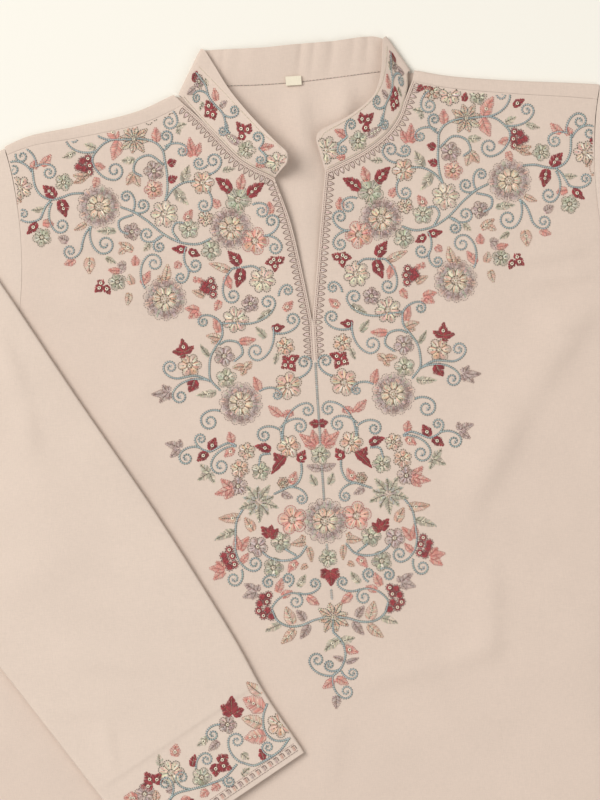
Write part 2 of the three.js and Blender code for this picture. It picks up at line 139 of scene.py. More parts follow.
# Armhole, as steps out and down from the shoulder tip to the underarm
ARMHOLE = [(0, 0), (-4, 22), (-7, 60), (-5, 100), (2, 137), (14, 168), (38, 199)]

# Collar band, a row for each section: the seam edge, then the top edge
BAND_LEFT = [
    ((-19.5, 102.5, 6.6), (-8.5, 112.5, 23.0)),
    ((-24.0, 105.3, 6.8), (-10.5, 118.5, 22.0)),
    ((-32.0, 109.5, 7.0), (-16.0, 124.5, 20.0)),
    ((-43.0, 117.0, 7.0), (-24.0, 134.0, 16.0)),
    ((-55.0, 130.0, 6.4), (-36.0, 149.0, 11.5)),
    ((-68.0, 145.5, 5.4), (-48.5, 167.0, 7.5)),
    ((-76.5, 156.5, 4.7), (-57.5, 184.0, 5.4)),
]
BAND_BACK = [
    ((-70.0, 167.3, 0.9), (-56.0, 194.6, 1.0)),
    ((-52.0, 169.0, 0.9), (-45.0, 194.4, 1.6)),
    ((-28.0, 168.5, 0.9), (-21.0, 194.0, 2.2)),
    ((-2.0, 168.7, 0.9), (-1.0, 194.8, 2.4)),
    ((28.0, 170.3, 0.9), (27.0, 195.4, 2.2)),
    ((52.0, 172.0, 0.9), (48.0, 197.0, 1.6)),
    ((69.0, 172.6, 0.9), (56.0, 196.8, 1.0)),
]
BAND_RIGHT = [
    ((76.8, 160.5, 4.9), (60.5, 184.0, 7.6)),
    ((74.0, 151.0, 5.2), (59.5, 174.5, 9.0)),
    ((70.0, 141.0, 5.4), (57.0, 164.5, 9.5)),
    ((64.0, 132.5, 5.4), (53.0, 156.0, 9.2)),
    ((57.0, 126.0, 5.3), (46.0, 149.5, 8.6)),
    ((47.0, 119.3, 5.2), (37.0, 143.5, 8.0)),
    ((37.0, 114.0, 5.1), (29.0, 139.5, 7.4)),
    ((26.0, 109.3, 5.0), (19.0, 135.5, 7.0)),
    ((15.5, 105.0, 5.0), (9.5, 131.0, 6.8)),
]
TURN_LEFT = ((-84, 164.5), (-66, 196))
TURN_RIGHT = ((79.8, 171.5), (64.5, 196.5))

LEFT_FOLD = ((-257, 108), (-324, -93))
LEFT_TOP_EDGE = [
    (-257, 108), (-216, 40), (-169, -41), (-115, -132), (-68, -219), (-51, -255), (-25, -300),
]
LEFT_UNDER_EDGE = [(-324, -93), (-280, -158), (-233, -226), (-182, -301), (-138, -366)]

# Soft folds: a ridge from one place to another, its width and its height
FRONT_FOLDS = [
    ((190, -7), (148, -60), 16, 3.3), ((153, -51), (93, -149), 18, 3.9),
    ((114, -172), (111, -250), 12, 2.0), ((120, -233), (80, -245), 9, 2.1),
    ((92, -244), (6, -256), 9, 2.0), ((205, 40), (137, 33), 8, 1.8), ((205, 21), (147, 19), 7, 1.7),
    ((204, -10), (155, -15), 10, 1.8), ((-198, 69), (-128, 61), 8, 1.4),
    ((-178, 32), (-113, 7), 10, 1.6), ((4, -268), (-14, -340), 14, 1.6),
    ((160, -180), (190, -430), 40, 2.6), ((40, -380), (24, -620), 40, 2.2),
    ((-70, -430), (-96, -912), 40, 3.0), ((86, -560), (104, -912), 36, 3.1),
    ((-196, -640), (-222, -912), 34, 2.6), ((206, -620), (226, -912), 32, 2.4),
    ((6, -700), (2, -912), 30, 2.2),
]
# Folds of the back inside the neck, and of the collar band behind it: place, width and depth
BACK_FOLDS = [
    ((1, 168), (3, 96), 9, 3.2), ((2, 112), (2, 24), 7, 1.4), ((35, 170), (31, 128), 9, 2.8),
    ((60, 168), (50, 146), 8, 1.4),
]
BAND_FOLDS = [
    (-50, 3.4, 0.9), (-38, 5, 0.7), (-18, 7, 0.5), (5, 2.6, 1.3), (14, 2.4, 0.9), (27, 3.6, 1.3),
    (42, 2.8, 0.7), (52, 3, 1.0),
]
LEFT_SLEEVE_FOLDS = [
    ((-222, 12), (-200, -50), 9, 1.8), ((-203, -44), (-200, -84), 8, 1.5),
    ((-222, -80), (-150, -148), 20, 1.6), ((-196, -222), (-116, -236), 11, 1.4),
    ((-193, -259), (-160, -266), 5, 1.0), ((-162, -262), (-157, -309), 5, 1.0),
    ((-236, -180), (-170, -150), 22, 1.4),
]
RIGHT_SLEEVE_FOLDS = [
    ((262, 92), (330, -30), 22, 1.9), ((350, 40), (392, -74), 20, 1.8),
    ((420, -40), (548, -118), 24, 2.1), ((540, -96), (560, -170), 16, 1.6),
]
# The facing inside each cuff: how deep it is and how much flatter the sleeve is pressed there
FACING = 59
FACING_DIP = 0.7
FACING_RINGS = [-0.009, -0.005, -0.001, 0.003, 0.007]
LEFT_FACING_START = 0.807
FULLNESS = 1.5

# The embroidery of the front's right half; the left half mirrors it. The places of the motifs
# in these tables were read off the photograph and rounded to half a millimetre.
# scrolls: where each leaves its stem, its eye, the radius of its coil and which way it turns
# leaves by thread: base, tip, width and the number of sequins, if it has any
# flowers by kind: centre and radius; berries: the middles of their lobes
YOKE = {
    "scrolls": [
        (100.5, 67.5, 111.5, 68.5, 5, 1), (101.5, 66.5, 103.5, 59.5, 4, -1),
        (120.5, 85, 113.5, 89, 4.5, -1), (120.5, 85, 124.5, 95.5, 4, -1),
        (143, 129, 159, 138.5, 5, 1), (132.5, 136, 142.5, 150.5, 5.5, 1),
        (96.5, 126.5, 94, 136, 4, -1), (95.5, 128.5, 83.5, 125, 4, 1),
        (146.5, 122, 131.5, 114.5, 6.5, -1), (187, 120, 177.5, 116, 5, 1),
        (189.5, 117, 202, 120, 5, -1), (186, 121, 195.5, 128.5, 5.5, -1),
        (176.5, 95, 171, 78.5, 5.5, -1), (185, 84.5, 197, 88, 4, 1), (150, 77, 141.5, 63.5, 7, -1),
        (157.5, 63.5, 166, 60, 5, 1), (115, 30.5, 108, 48, 6.5, 1), (84.5, 58.5, 79.5, 45, 5, -1),
        (85, 44.5, 90, 37, 4, 1), (37, 84, 30.5, 79.5, 5, 1), (29.5, 62, 24, 72, 5, -1),
        (31, 62, 23, 53.5, 5, 1), (66.5, 107.5, 62, 116.5, 5.5, -1), (66, 114.5, 72, 116, 4, 1),
        (67.5, 96.5, 70.5, 86.5, 5, 1), (92.5, 156.5, 91, 146, 5.5, 1), (53, 41, 54.5, 22, 5.5, -1),
        (52.5, 2.5, 30.5, 15.5, 5.5, -1), (22, 19, 16, 23, 4, 1), (28, -1, 40.5, -18, 6.5, 1),
        (27, -6, 14, 2.5, 5, -1), (63.5, 2.5, 76, 5, 4, -1), (73.5, -37, 95.5, -46, 5.5, -1),
        (95, -33.5, 101, -25.5, 5, 1), (12.5, -38.5, 7.5, -28, 5, -1),
        (40.5, -46.5, 28, -49.5, 3.5, 1), (25.5, -77.5, 7.5, -61.5, 5, 1),
        (27, -73, 13.5, -72.5, 5, 1), (27, -74.5, 38.5, -77, 5, -1),
        (23.5, -114.5, 15.5, -123, 4, 1), (58, -83.5, 70.5, -96.5, 6.5, -1),
        (76.5, -86, 83, -77, 4, 1), (84, -83, 94, -89.5, 5, -1), (68, -58.5, 76, -65, 6.5, -1),
        (63.5, -152.5, 51, -166, 5.5, -1), (60.5, -169.5, 66, -176, 5, 1),
        (41, -198.5, 24, -194.5, 5.5, 1), (28.5, -184, 28.5, -178.5, 4, -1),
        (36, -176, 42, -180, 4, -1), (22, -188.5, 10, -183, 4, -1),
    ],
    "stems": [
        [(66.5, 63), (76, 59.5), (89, 61.5), (99.5, 67.5), (111, 78), (120.5, 85), (128.5, 88.5)],
        [
            (97.5, 90.5), (95.5, 98.5), (95, 109), (96, 119.5), (97, 126.5), (101.5, 132),
            (109.5, 135), (118, 135.5), (132.5, 136),
        ],
        [
            (153.5, 100), (162.5, 100), (169.5, 98), (176.5, 97), (183.5, 100), (187.5, 106.5),
            (189, 119.5),
        ],
        [(75, 103.5), (83.5, 103), (91, 99), (97, 92)],
        [(89, 61.5), (93.5, 70), (91, 75), (86, 75)],
        [(120, 83), (130.5, 79), (130, 72.5), (125, 69.5)],
        [(96.5, 116), (106.5, 123.5), (115.5, 120.5), (118, 113), (113, 109.5)],
        [(47.5, 41), (39, 41.5), (34, 38.5)],
        [(63.5, 3), (63.5, -5.5), (68, -12.5), (72.5, -20), (74, -29), (73.5, -36), (67.5, -43.5)],
        [(66.5, -12), (60.5, -9.5), (52.5, -11.5), (50, -18.5), (56, -24)],
        [(52.5, 2.5), (63.5, 3)], [(34.5, -90), (41.5, -91), (43.5, -97.5)],
        [(14, -97), (14, -104.5), (17.5, -112), (25.5, -115), (34, -118.5)],
        [(45.5, -158), (40.5, -162.5), (31, -165.5), (20, -163.5), (14, -156.5)],
        [(29.5, -157), (21.5, -162.5)],
        [(41, -198.5), (37.5, -207), (30, -211.5), (21, -211.5), (12, -208.5), (5, -207)],
        [(176.5, 97), (181, 92.5), (185, 84.5)], [(150, 77), (154.5, 71.5), (157.5, 63.5)],
        [(58, -83.5), (63.5, -81), (76.5, -86)], [(27, -74.5), (26, -81.5), (25.5, -77.5)],
        [(73.5, -37), (83.5, -32.5), (95, -33.5)], [(56.5, -127.5), (61.5, -135.5), (63.5, -152.5)],
        [(132.5, 136), (138, 133.5), (143, 129), (146, 125), (146.5, 122)], [(47.5, 41), (53, 41)],
    ],
    "leaves": {
        "maroon": [
            (87.5, 160, 83, 164, 4), (87.5, 159.5, 83, 156, 4), (88, 160, 97, 161.5, 4),
            (89, 159, 95, 157, 3.5), (115.5, 147.5, 117.5, 154, 4),
            (150, 141.5, 158.5, 146.5, 4.5, 1), (174, 98, 182.5, 107.5, 7, 2),
            (170.5, 96.5, 167.5, 83.5, 7, 2), (188, 81.5, 196, 73.5, 5, 1),
            (202.5, 113, 206.5, 115.5, 4.5), (143.5, 34.5, 140, 27.5, 4.5, 1),
            (144.5, 35, 148.5, 39, 5, 1), (145, 34.5, 151, 30, 5, 1), (48, 43, 56, 53.5, 7, 2),
            (47, 40.5, 51.5, 27, 7, 2), (22.5, 43.5, 16, 46.5, 5, 1), (23, 43.5, 26.5, 48, 4, 1),
            (23, 43, 24, 36, 4.5, 1), (23.5, 43.5, 31, 43, 4.5, 1), (28.5, -3, 19, -2, 5, 1),
            (91, -15.5, 83.5, -11.5, 4.5), (91, -15.5, 92, -5.5, 5, 1),
            (91.5, -15.5, 99.5, -15, 4.5), (90.5, -16.5, 94, -19.5, 3.5),
            (18.5, -26.5, 10, -23, 5, 1), (19, -26, 22.5, -22, 4), (18.5, -27.5, 13.5, -34, 5, 1),
            (19, -27.5, 24, -31.5, 5, 1), (84.5, -35, 89.5, -44, 7), (93.5, 116, 87.5, 119, 5),
            (94, 104.5, 87.5, 107.5, 5), (39.5, 90.5, 27, 99, 7, 2), (51, 94.5, 61.5, 105, 7, 2),
            (84.5, 56.5, 95.5, 57.5, 5, 1), (83, 55.5, 75, 51, 5, 1), (0, -71.5, 7, -70.5, 5.5),
            (34.5, -87.5, 46, -84, 5.5, 1), (77, -85, 72.5, -76, 6, 1),
            (79, -86.5, 87, -92.5, 5.5, 1), (24.5, -92.5, 35.5, -105, 5), (28.5, -96, 33, -89.5, 5),
            (15, -97.5, 10.5, -89, 6, 1), (39, -149, 32.5, -142.5, 5.5),
            (39, -148.5, 37, -139.5, 5), (39.5, -148.5, 45, -140.5, 5.5),
            (39, -146.5, 41.5, -144.5, 6),
        ],
        "salmon": [
            (128.5, 136, 136.5, 149.5, 7, 1), (101, 132.5, 101, 143, 5.5),
            (127.5, 135, 132.5, 121.5, 7), (145, 119, 137.5, 117, 4.5),
            (144, 110.5, 146.5, 103, 4.5), (182.5, 121, 175, 128.5, 5), (188, 119, 186, 125.5, 5),
            (184, 81, 176, 79.5, 5), (163, 54, 171, 51, 4.5), (121, 47, 121, 54.5, 5),
            (117.5, 34, 111, 43, 5), (132, 44, 140.5, 45.5, 4), (89.5, 47.5, 94, 43.5, 4.5),
            (78.5, 13, 88.5, 15, 5), (80, 12.5, 86.5, 8, 4.5), (80.5, 12, 77.5, 7.5, 4),
            (63.5, 19, 67.5, 12, 4.5), (44.5, 95.5, 42, 106.5, 5.5), (58.5, 36, 55, 26.5, 5),
            (19.5, 9.5, 12.5, 15.5, 5, 1), (65.5, -3.5, 69, 7, 5), (52, -10.5, 40, -9.5, 5),
            (40, -46, 43.5, -35.5, 5), (75, 121, 70, 130, 5), (75.5, 121, 77.5, 134.5, 5),
            (76, 121, 80.5, 128.5, 5), (60, 84, 64.5, 90.5, 5), (84.5, 76.5, 79, 84, 5, 1),
            (24.5, 77, 25, 86, 5), (78.5, 33, 80.5, 37, 3.5), (78, 34, 74, 33.5, 3.5),
            (2.5, -86.5, 14, -77.5, 5.5), (2.5, -86, 4.5, -75, 5), (3, -87, 11, -86, 4.5),
            (17, -62.5, 26.5, -64.5, 4.5), (26, -64, 34.5, -56.5, 5), (61.5, -81, 63, -73, 5),
            (60.5, -84.5, 67.5, -90.5, 5, 1), (63, -112.5, 71, -105.5, 5),
            (63, -112.5, 76, -116, 5), (63, -113, 69, -120, 5), (22.5, -112, 18, -103.5, 5, 1),
            (60.5, -156.5, 53.5, -147, 5), (61, -156, 62.5, -145.5, 5), (72, -169, 78, -163, 5),
            (72, -169.5, 83, -167.5, 5), (72, -170, 80.5, -176, 5), (60.5, -165, 54.5, -158.5, 4),
            (21, -166.5, 28, -174, 5, 1), (36.5, -187.5, 32.5, -177.5, 5),
            (33.5, -190.5, 25.5, -187, 4.5), (15.5, -191.5, 7.5, -198, 5),
        ],
        "peach": [
            (150.5, 112, 161, 113, 4.5), (152, 110.5, 161, 107.5, 3.5),
            (149, 113.5, 156, 108.5, 3.5), (203.5, 100, 202, 89.5, 5), (201.5, 101, 198, 96, 3.5),
            (122, 57.5, 132, 64, 5, 1), (127.5, 59, 132.5, 56, 4), (152.5, 55, 153.5, 43, 7, 1),
            (153.5, 79, 162.5, 74.5, 4), (124, 34, 126, 41.5, 5), (126.5, 28.5, 128.5, 19.5, 4.5),
            (101, 35, 98.5, 47, 5.5), (103.5, 34.5, 105.5, 39.5, 4), (74, 22.5, 83, 27, 4.5),
            (54.5, 39, 70, 45.5, 5, 1), (65, -7.5, 75, -5, 4.5), (66, -9, 72, -10, 3),
            (49, -29, 44, -25, 5), (49, -28.5, 58, -28.5, 4.5), (49, -29.5, 52, -34.5, 4),
            (117.5, 110, 114.5, 102, 5), (119, 110.5, 123.5, 103.5, 5), (118, 110, 122, 111.5, 3.5),
            (50, -143.5, 56, -133.5, 6, 1), (58.5, -133, 74.5, -133, 6, 1),
            (14, -153.5, 25, -154.5, 5), (15.5, -148.5, 17.5, -153.5, 3.5),
            (12.5, -157, 11, -168, 4), (26.5, -210.5, 31, -197.5, 7, 2),
            (25.5, -213.5, 36, -223.5, 6, 2), (23.5, -110, 31.5, -112.5, 4),
            (14, -169.5, 19, -172.5, 3.5),
        ],
        "sage": [
            (143.5, 131, 152, 134.5, 4.5), (158, 129, 168, 125.5, 4, 1), (182.5, 91, 192, 90.5, 4),
            (133, 72, 147.5, 72.5, 5, 1), (110, 62, 115.5, 56.5, 4.5), (141.5, 54, 134, 49.5, 4),
            (27.5, 10, 39, 3, 5, 1), (33, -9, 40, -0.5, 5), (26, -20.5, 28.5, -28.5, 4),
            (73.5, -19.5, 79.5, -10.5, 4), (70, -45, 85, -46, 5, 1), (86.5, 141.5, 78.5, 144, 4),
            (85.5, 140.5, 84, 136, 3.5), (84.5, 103, 79, 115.5, 6.5, 1), (90, 99, 81, 87, 6.5, 1),
            (117, 121, 127.5, 120.5, 5, 1), (56, 109.5, 46.5, 110, 4), (78.5, -100.5, 85, -93.5, 5),
            (78.5, -101, 87.5, -106, 5), (78, -101, 75, -109, 4.5),
            (63, -142.5, 78.5, -148.5, 5.5, 1), (4.5, -114.5, 8, -105.5, 5),
            (22, -184.5, 15.5, -175.5, 5, 1), (35.5, -210, 47, -214.5, 5),
        ],
        "mauve": [
            (167, 67, 174, 70.5, 5), (127.5, 48, 134, 48.5, 5), (129, 47.5, 132, 42, 4),
            (103.5, -42, 103.5, -38, 3.5), (102.5, -42.5, 116, -43.5, 4.5),
            (103.5, -43, 110.5, -50, 4), (104, -42.5, 107.5, -37, 3.5), (102.5, -43, 104, -48.5, 3),
            (0, -103, 10.5, -100, 4.5), (98, -82, 97.5, -76, 3.5), (98, -82, 108.5, -78.5, 4.5),
            (98.5, -82.5, 105.5, -88.5, 4), (29, -118, 21, -122, 4), (51, -185.5, 59.5, -180, 4.5),
            (50.5, -186, 61, -189.5, 5), (50.5, -185.5, 48.5, -181, 3.5),
            (51, -186.5, 54.5, -191.5, 3), (18, -208.5, 24, -200.5, 5), (15.5, -211, 22.5, -221, 5),
        ],
    },
    "flowers": {
        "large": [(144, 90, 15), (102, 22.5, 15), (52.5, 69, 15), (53.5, -54, 15)],
        "sage": [
            (125.5, 150.5, 6), (167.5, 108.5, 6), (134.5, 36.5, 6), (46.5, 88.5, 9), (82, 70.5, 7),
            (67.5, 54.5, 7), (62.5, -35.5, 7), (185, 71, 6.5), (42.5, -102, 6.5), (31.5, -152.5, 7),
            (38, -170, 7),
        ],
        "mauve": [
            (104, 112.5, 7), (122, 71, 6), (42.5, 15.5, 6), (63, -20, 7), (59, -111.5, 6.5),
            (48, -154.5, 7),
        ],
        "cream": [
            (70.5, 102, 8), (70, 77, 5.5), (20, -16, 6.5), (87.5, -25, 8), (19.5, -43.5, 9.5),
            (93.5, 155, 6), (22, -86, 8), (51.5, -87.5, 6), (57, -99.5, 6.5), (27.5, -111, 4),
        ],
        "peach": [(98.5, 82, 9.5), (33, 31.5, 9), (53.5, 5, 9), (198, 106.5, 8), (106, 152.5, 7.5)],
        "star": [(116.5, 135.5, 12)],
        "feather": [(45.5, -123.5, 15)],
        "rose": [(105, 99.5, 6.5), (36.5, 59, 9.5), (22.5, -137.5, 10)],
    },
    "berries": [
        [(149.5, 124), (153.5, 122.5), (148.5, 119), (153, 117), (149, 114.5), (156.5, 118.5)],
        [(69, 33), (73, 31), (67.5, 28.5), (72, 26.5), (68, 23.5), (74.5, 28)],
        [(68, -155.5), (72, -159.5), (66, -160), (71, -163.5), (65, -166), (68.5, -167.5)],
        [
            (42.5, -189), (47, -190), (44, -193.5), (49, -194.5), (50, -199.5), (44, -199.5),
            (47, -203), (41.5, -204),
        ],
    ],
}
# What stands on the centre front and has no mirror image
CENTRE = {
    "scrolls": [
        (-1, -248, -11.5, -236.5, 5.5, -1), (5, -244.5, 12.5, -247, 4, 1),
        (-1, -248, 7.5, -259.5, 5, 1), (5, -243, -3, -240.5, 3.5, -1),
    ],
    "stems": [
        [(1, -217.5), (7, -225), (8.5, -234), (5, -243), (-1, -248)], [(1.5, -207), (1, -217.5)],
    ],
    "leaves": {
        "maroon": [
            (0.5, -175, -5.5, -179.5, 7), (1.5, -174, 1.5, -186, 7.5), (2, -175, 8, -180, 7),
        ],
        "salmon": [
            (8.5, -228.5, 18, -233, 5, 1), (-0.5, -250.5, -9, -256.5, 5), (1, -250, 9.5, -255, 5),
        ],
        "sage": [(4.5, -224.5, 16.5, -222, 6, 1), (4.5, -223, -6.5, -231, 6, 1)],
        "mauve": [
            (7.5, -238, -0.5, -234.5, 3), (8.5, -239.5, 18, -236.5, 3), (0, -262, -0.5, -271.5, 5),
        ],
    },
    "flowers": {
        "large": [(0.3, -139.6, 15.7)],
        "sage": [(-0.3, -93.1, 6.8), (0.8, -165.6, 6.4)],
        "star": [(1.8, -207.2, 12.5)],
    },
    "berries": [],
}
# Teal ladders down the centre, between its flowers
LADDERS = [[(0.4, -28), (0.3, -60), (0.5, -86)], [(0.2, -100), (0.4, -112), (0.4, -125)]]
LADDER_ENDS = [[(0.2, -155), (0.6, -160)], [(1.4, -187), (1.6, -195)]]
# Collar motifs: distance from the front end, then from the seam
COLLAR = {
    "scrolls": [
        (22, 14, 16, 8, 3.6, 1), (22, 15, 28, 20, 3.8, -1), (57, 14, 53, 21, 3.6, -1),
        (52, 11, 50, 5.5, 3.2, 1), (74, 15, 81, 8, 3.6, -1),
    ],
    "stems": [
        [(13, 13), (18, 13.5), (22, 14.5)],
        [(44, 8), (49, 8), (53, 11.5), (58, 14), (67, 14), (74, 15), (80, 18.5), (91, 20)],
    ],
    "leaves": {
        "maroon": [
            (36, 16.5, 38, 24, 5.5, 1), (37, 16, 47, 17, 5.5, 1), (36, 15, 38, 8.5, 5, 1),
            (67, 9, 74, 12, 6, 1), (66, 9, 67, 2.5, 5.5, 1), (65, 9, 59, 6.5, 5.5, 1),
            (66, 10, 62, 13, 4), (90, 14, 91, 22, 4),
        ],
        "salmon": [(21, 15, 15, 23, 4.5), (67, 17, 74, 22, 4.5), (16, 2.5, 10, 5, 3.5)],
        "mauve": [(35, 7, 47, 5, 4.5, 3), (62, 15.5, 61, 22.5, 3.5), (86, 12, 90, 4, 4)],
        "sage": [(75, 9, 73, 3, 3.5), (79, 19, 84, 22.5, 3.5)],
    },
    "flowers": {"peach": [(5, 12.5, 9)], "sage": [(28, 8, 6.5)], "mauve": [(86, 17, 4.5)]},
    "berries": [],
}
# Cuff motifs: distance along the hem from the sleeve's outer edge, then in from the hem
CUFF = {
    "scrolls": [
        (39.5, 18.5, 34, 33, 5.6, 1), (18, 10, 18.5, 17, 4.2, 1), (37, 48.5, 45.5, 46, 4.4, -1),
        (68.5, 32, 59, 34, 4.6, 1), (56, 17, 54, 12.5, 3.8, -1), (79, 23, 80, 33, 4.6, 1),
        (96, 25, 92, 36, 4.4, -1), (106, 22, 112, 30, 5, 1), (100, 24, 99, 14, 4.2, 1),
        (118, 19, 124, 14, 4, -1),
    ],
    "stems": [
        [(1.5, 43), (9, 37), (14, 27.5), (12.5, 19.5), (8, 15.5), (2.5, 14)],
        [(2.5, 14), (12.5, 10.5), (25, 10.5), (33.5, 12), (39.5, 18.5)],
        [(42.5, 19.5), (55, 16.5), (66.5, 18.5), (79, 22.5), (90, 26), (100, 24), (118, 19)],
    ],
    "leaves": {
        "maroon": [
            (26.5, 50, 19, 61.5, 7.5), (26.5, 50, 29.5, 60.5, 7.5), (26, 49.5, 17, 49, 6.5),
            (53, 27.5, 44, 28.5, 7, 1), (53, 27, 47.5, 18, 7, 1), (54.5, 27.5, 60.5, 20, 7, 1),
            (25.5, 11.5, 24, 20, 4.5), (70, 35.5, 63, 41.5, 4.5), (98, 40, 90, 44, 7, 1),
            (99, 41, 99, 51, 7, 1), (100, 40, 108, 44, 7, 1), (120, 26, 127, 32, 6, 1),
            (86, 16, 80, 12, 5),
        ],
        "salmon": [
            (6, 40.5, 14, 55.5, 10, 3), (15, 24.5, 29, 31.5, 9, 3), (61, 14.5, 68, 14, 5),
            (70, 15.5, 77, 14.5, 5), (84, 20, 92, 14, 6), (114, 38, 122, 44, 7, 2),
            (110, 14, 116, 11, 5), (76, 48, 70, 55, 6, 1),
        ],
        "peach": [(13, 32.5, 22.5, 44.5, 8, 2), (1.5, 50.5, 5.5, 63.5, 6.5), (104, 30, 100, 36, 5)],
        "sage": [
            (36, 24, 34, 17, 5), (44.5, 11, 36.5, 12.5, 4.5), (50, 46.5, 59.5, 45.5, 5, 1),
            (104, 17, 110, 21, 5), (88, 48, 84, 56, 5),
        ],
        "mauve": [(44.5, 39.5, 54.5, 38, 4.5), (122, 22, 128, 20, 4), (90, 30, 95, 31, 4)],
    },
    "flowers": {
        "mauve": [(33, 46, 6.2), (108, 38, 7)],
        "sage": [(68.5, 25.5, 6.8), (119, 34, 6.5)],
        "cream": [(2.5, 25.5, 9)],
        "peach": [(84.5, 40, 9)],
    },
    "berries": [],
}
CUFF_REACH = (131, 68)
CUFF_BLOCK_PITCH = 5.0


# ---------------------------------------------------------------- shapes


def smooth(value):
    t = np.clip(value, 0, 1)
    return t * t * (3 - 2 * t)


def unit(vectors):
    lengths = np.linalg.norm(vectors, axis=-1, keepdims=True)
    return vectors / np.maximum(lengths, 1e-9)


def mix(a, b, share):
    return a + (b - a) * share


def placed(points):
    """Garment millimetres to frame metres."""
    return (np.asarray(points, float) + ORIGIN) * MM


class Curve:
    """A smooth line through points, spaced centripetally."""

    def __init__(self, points):
        points = np.array([(*p, 0)[:3] for p in points], float)
        self.points = np.vstack(
            [2 * points[0] - points[1], points, 2 * points[-1] - points[-2]]
        )
        self.gaps = np.linalg.norm(np.diff(self.points, axis=0), axis=1) ** 0.5

    def at(self, share):
        place = np.asarray(share, float) * (len(self.points) - 3)
        i = np.clip(np.floor(place).astype(int), 0, len(self.points) - 4)
        w = (place - i)[..., None]
        p0, p1, p2, p3 = (self.points[i + k] for k in range(4))
        d0, d1, d2 = (self.gaps[i + k][..., None] for k in range(3))
        m1 = ((p1 - p0) / d0 - (p2 - p0) / (d0 + d1) + (p2 - p1) / d1) * d1
        m2 = ((p2 - p1) / d1 - (p3 - p1) / (d1 + d2) + (p3 - p2) / d2) * d1
        square = 3 * (p2 - p1) - 2 * m1 - m2
        cube = 2 * (p1 - p2) + m1 + m2
        return p1 + w * (m1 + w * (square + w * cube))

    def along(self, share):
        share = np.asarray(share, float)
        step = 1e-4
        return unit(self.at(np.minimum(share + step, 1)) - self.at(np.maximum(share - step, 0)))


def fold_height(folds, x, y):
    """Soft folds, each with a long slope on its upper left and a short one on the other side."""
    height = 0
    for (x0, y0), (x1, y1), width, rise in folds:
        dx, dy = x1 - x0, y1 - y0
        length = np.hypot(dx, dy)
        along = ((x - x0) * dx + (y - y0) * dy) / length**2
        across = ((x - x0) * dy - (y - y0) * dx) / length
        ends = smooth(1.25 - np.abs(2 * along - 1) * 1.1)
        upper = across * np.sign(-dy - 0.5 * dx) > 0
        reach = width * np.where(upper, LONG_SLOPE, SHORT_SLOPE)
        height = height + rise * ends * np.exp(-((across / reach) ** 2) * 2)
    return height


LATTICE = 64


def uneven(x, y, size, seed):
    """Soft random waves from -1 to 1, about size across."""
    lattice = np.random.default_rng(seed).uniform(-1, 1, (LATTICE, LATTICE))
    u, v = np.asarray(x) / size + 500.3, np.asarray(y) / size + 500.7
    i, j = np.floor(u).astype(int), np.floor(v).astype(int)
    a, b = smooth(u - i), smooth(v - j)
    pick = lambda p, q: lattice[p % LATTICE, q % LATTICE]
    low = mix(pick(i, j), pick(i + 1, j), a)
    high = mix(pick(i, j + 1), pick(i + 1, j + 1), a)
    return mix(low, high, b)


class Layer:
    """A single layer of cloth made of grids of points. Points in one place are shared."""

    def __init__(self):
        self.points, self.quads, self.count = [], [], 0

    def lines(self, grid, turned=False):
        rows, columns = grid.shape[:2]
        ids = self.count + np.arange(rows * columns).reshape(rows, columns)
        quads = np.stack([ids[:-1, :-1], ids[:-1, 1:], ids[1:, 1:], ids[1:, :-1]], -1)
        quads = quads.reshape(-1, 4)
        self.points.append(grid.reshape(-1, 3))
        self.quads.append(quads[:, ::-1] if turned else quads)
        self.count += rows * columns

    def wall(self, thickness):
        """Points and faces of the closed wall, half of it on each side of the layer."""
        points = np.vstack(self.points)
        keys = np.round(points * MERGE_GRID).astype(np.int64)
        _, first, shared = np.unique(keys, axis=0, return_index=True, return_inverse=True)
        points = points[first]
        quads = shared.reshape(-1)[np.vstack(self.quads)]
        corners = points[quads]
        area = np.cross(corners[:, 2] - corners[:, 0], corners[:, 3] - corners[:, 1])
        sums = np.zeros_like(points)
        for k in range(4):
            np.add.at(sums, quads[:, k], area)
        shift = unit(sums) * thickness / 2
        count = len(points)
        faces, edges = [], {}
        for quad in quads.tolist():
            face = [p for k, p in enumerate(quad) if p != quad[k - 1]]
            if len(face) < 3:
                continue
            faces.append(face)
            faces.append([p + count for p in reversed(face)])
            for k, p in enumerate(face):
                before = face[k - 1]
                if edges.pop((p, before), None) is None:
                    edges[before, p] = True
        faces += [[q, p, p + count, q + count] for p, q in edges]
        rim = np.unique(np.array(list(edges), int).reshape(-1))
        shift[rim] *= EDGE_SHARE
        return np.vstack([points + shift, points - shift]), faces


def band_turn(line, outward):
    """Sections of the band as it turns over at one side of the neck."""
    seam, top = (np.array([*p, 0.0]) for p in line)
    out = unit(np.cross(top - seam, (0, 0, 1))) * outward
    axis_z = BAND / 2 + TURN_HALF + 0.2
    sections = []
    for degrees in (90, 45, 0, -45, -90):
        angle = radians(degrees)
        shift = out * (TURN_HALF * cos(angle) - TURN_HALF - BAND / 2)
        shift[2] = axis_z + TURN_HALF * sin(angle)
        sections.append((tuple(seam + shift), tuple(top + shift)))
    return sections


TURNS = band_turn(TURN_LEFT, -1), band_turn(TURN_RIGHT, 1)
BAND_ROWS = BAND_LEFT + TURNS[0] + BAND_BACK + TURNS[1][::-1] + BAND_RIGHT
BAND_SEAM = Curve([seam for seam, _ in BAND_ROWS])
BAND_TOP = Curve([top for _, top in BAND_ROWS])


def neckline_point(row):
    """A panel's neckline follows the band's seam edge, moved away from the band."""
    seam, top = (np.array(p, float) for p in row)
    away = seam - top
    tilt = abs(away[2]) / np.linalg.norm(away)
    away[2] = 0
    return seam + unit(away) * (SEAM_GAP + 0.22 + BAND / 2 * tilt)


def shoulder_curve(side):
    return Curve([(side["sign"] * x, y) for x, y in side["shoulder"]])


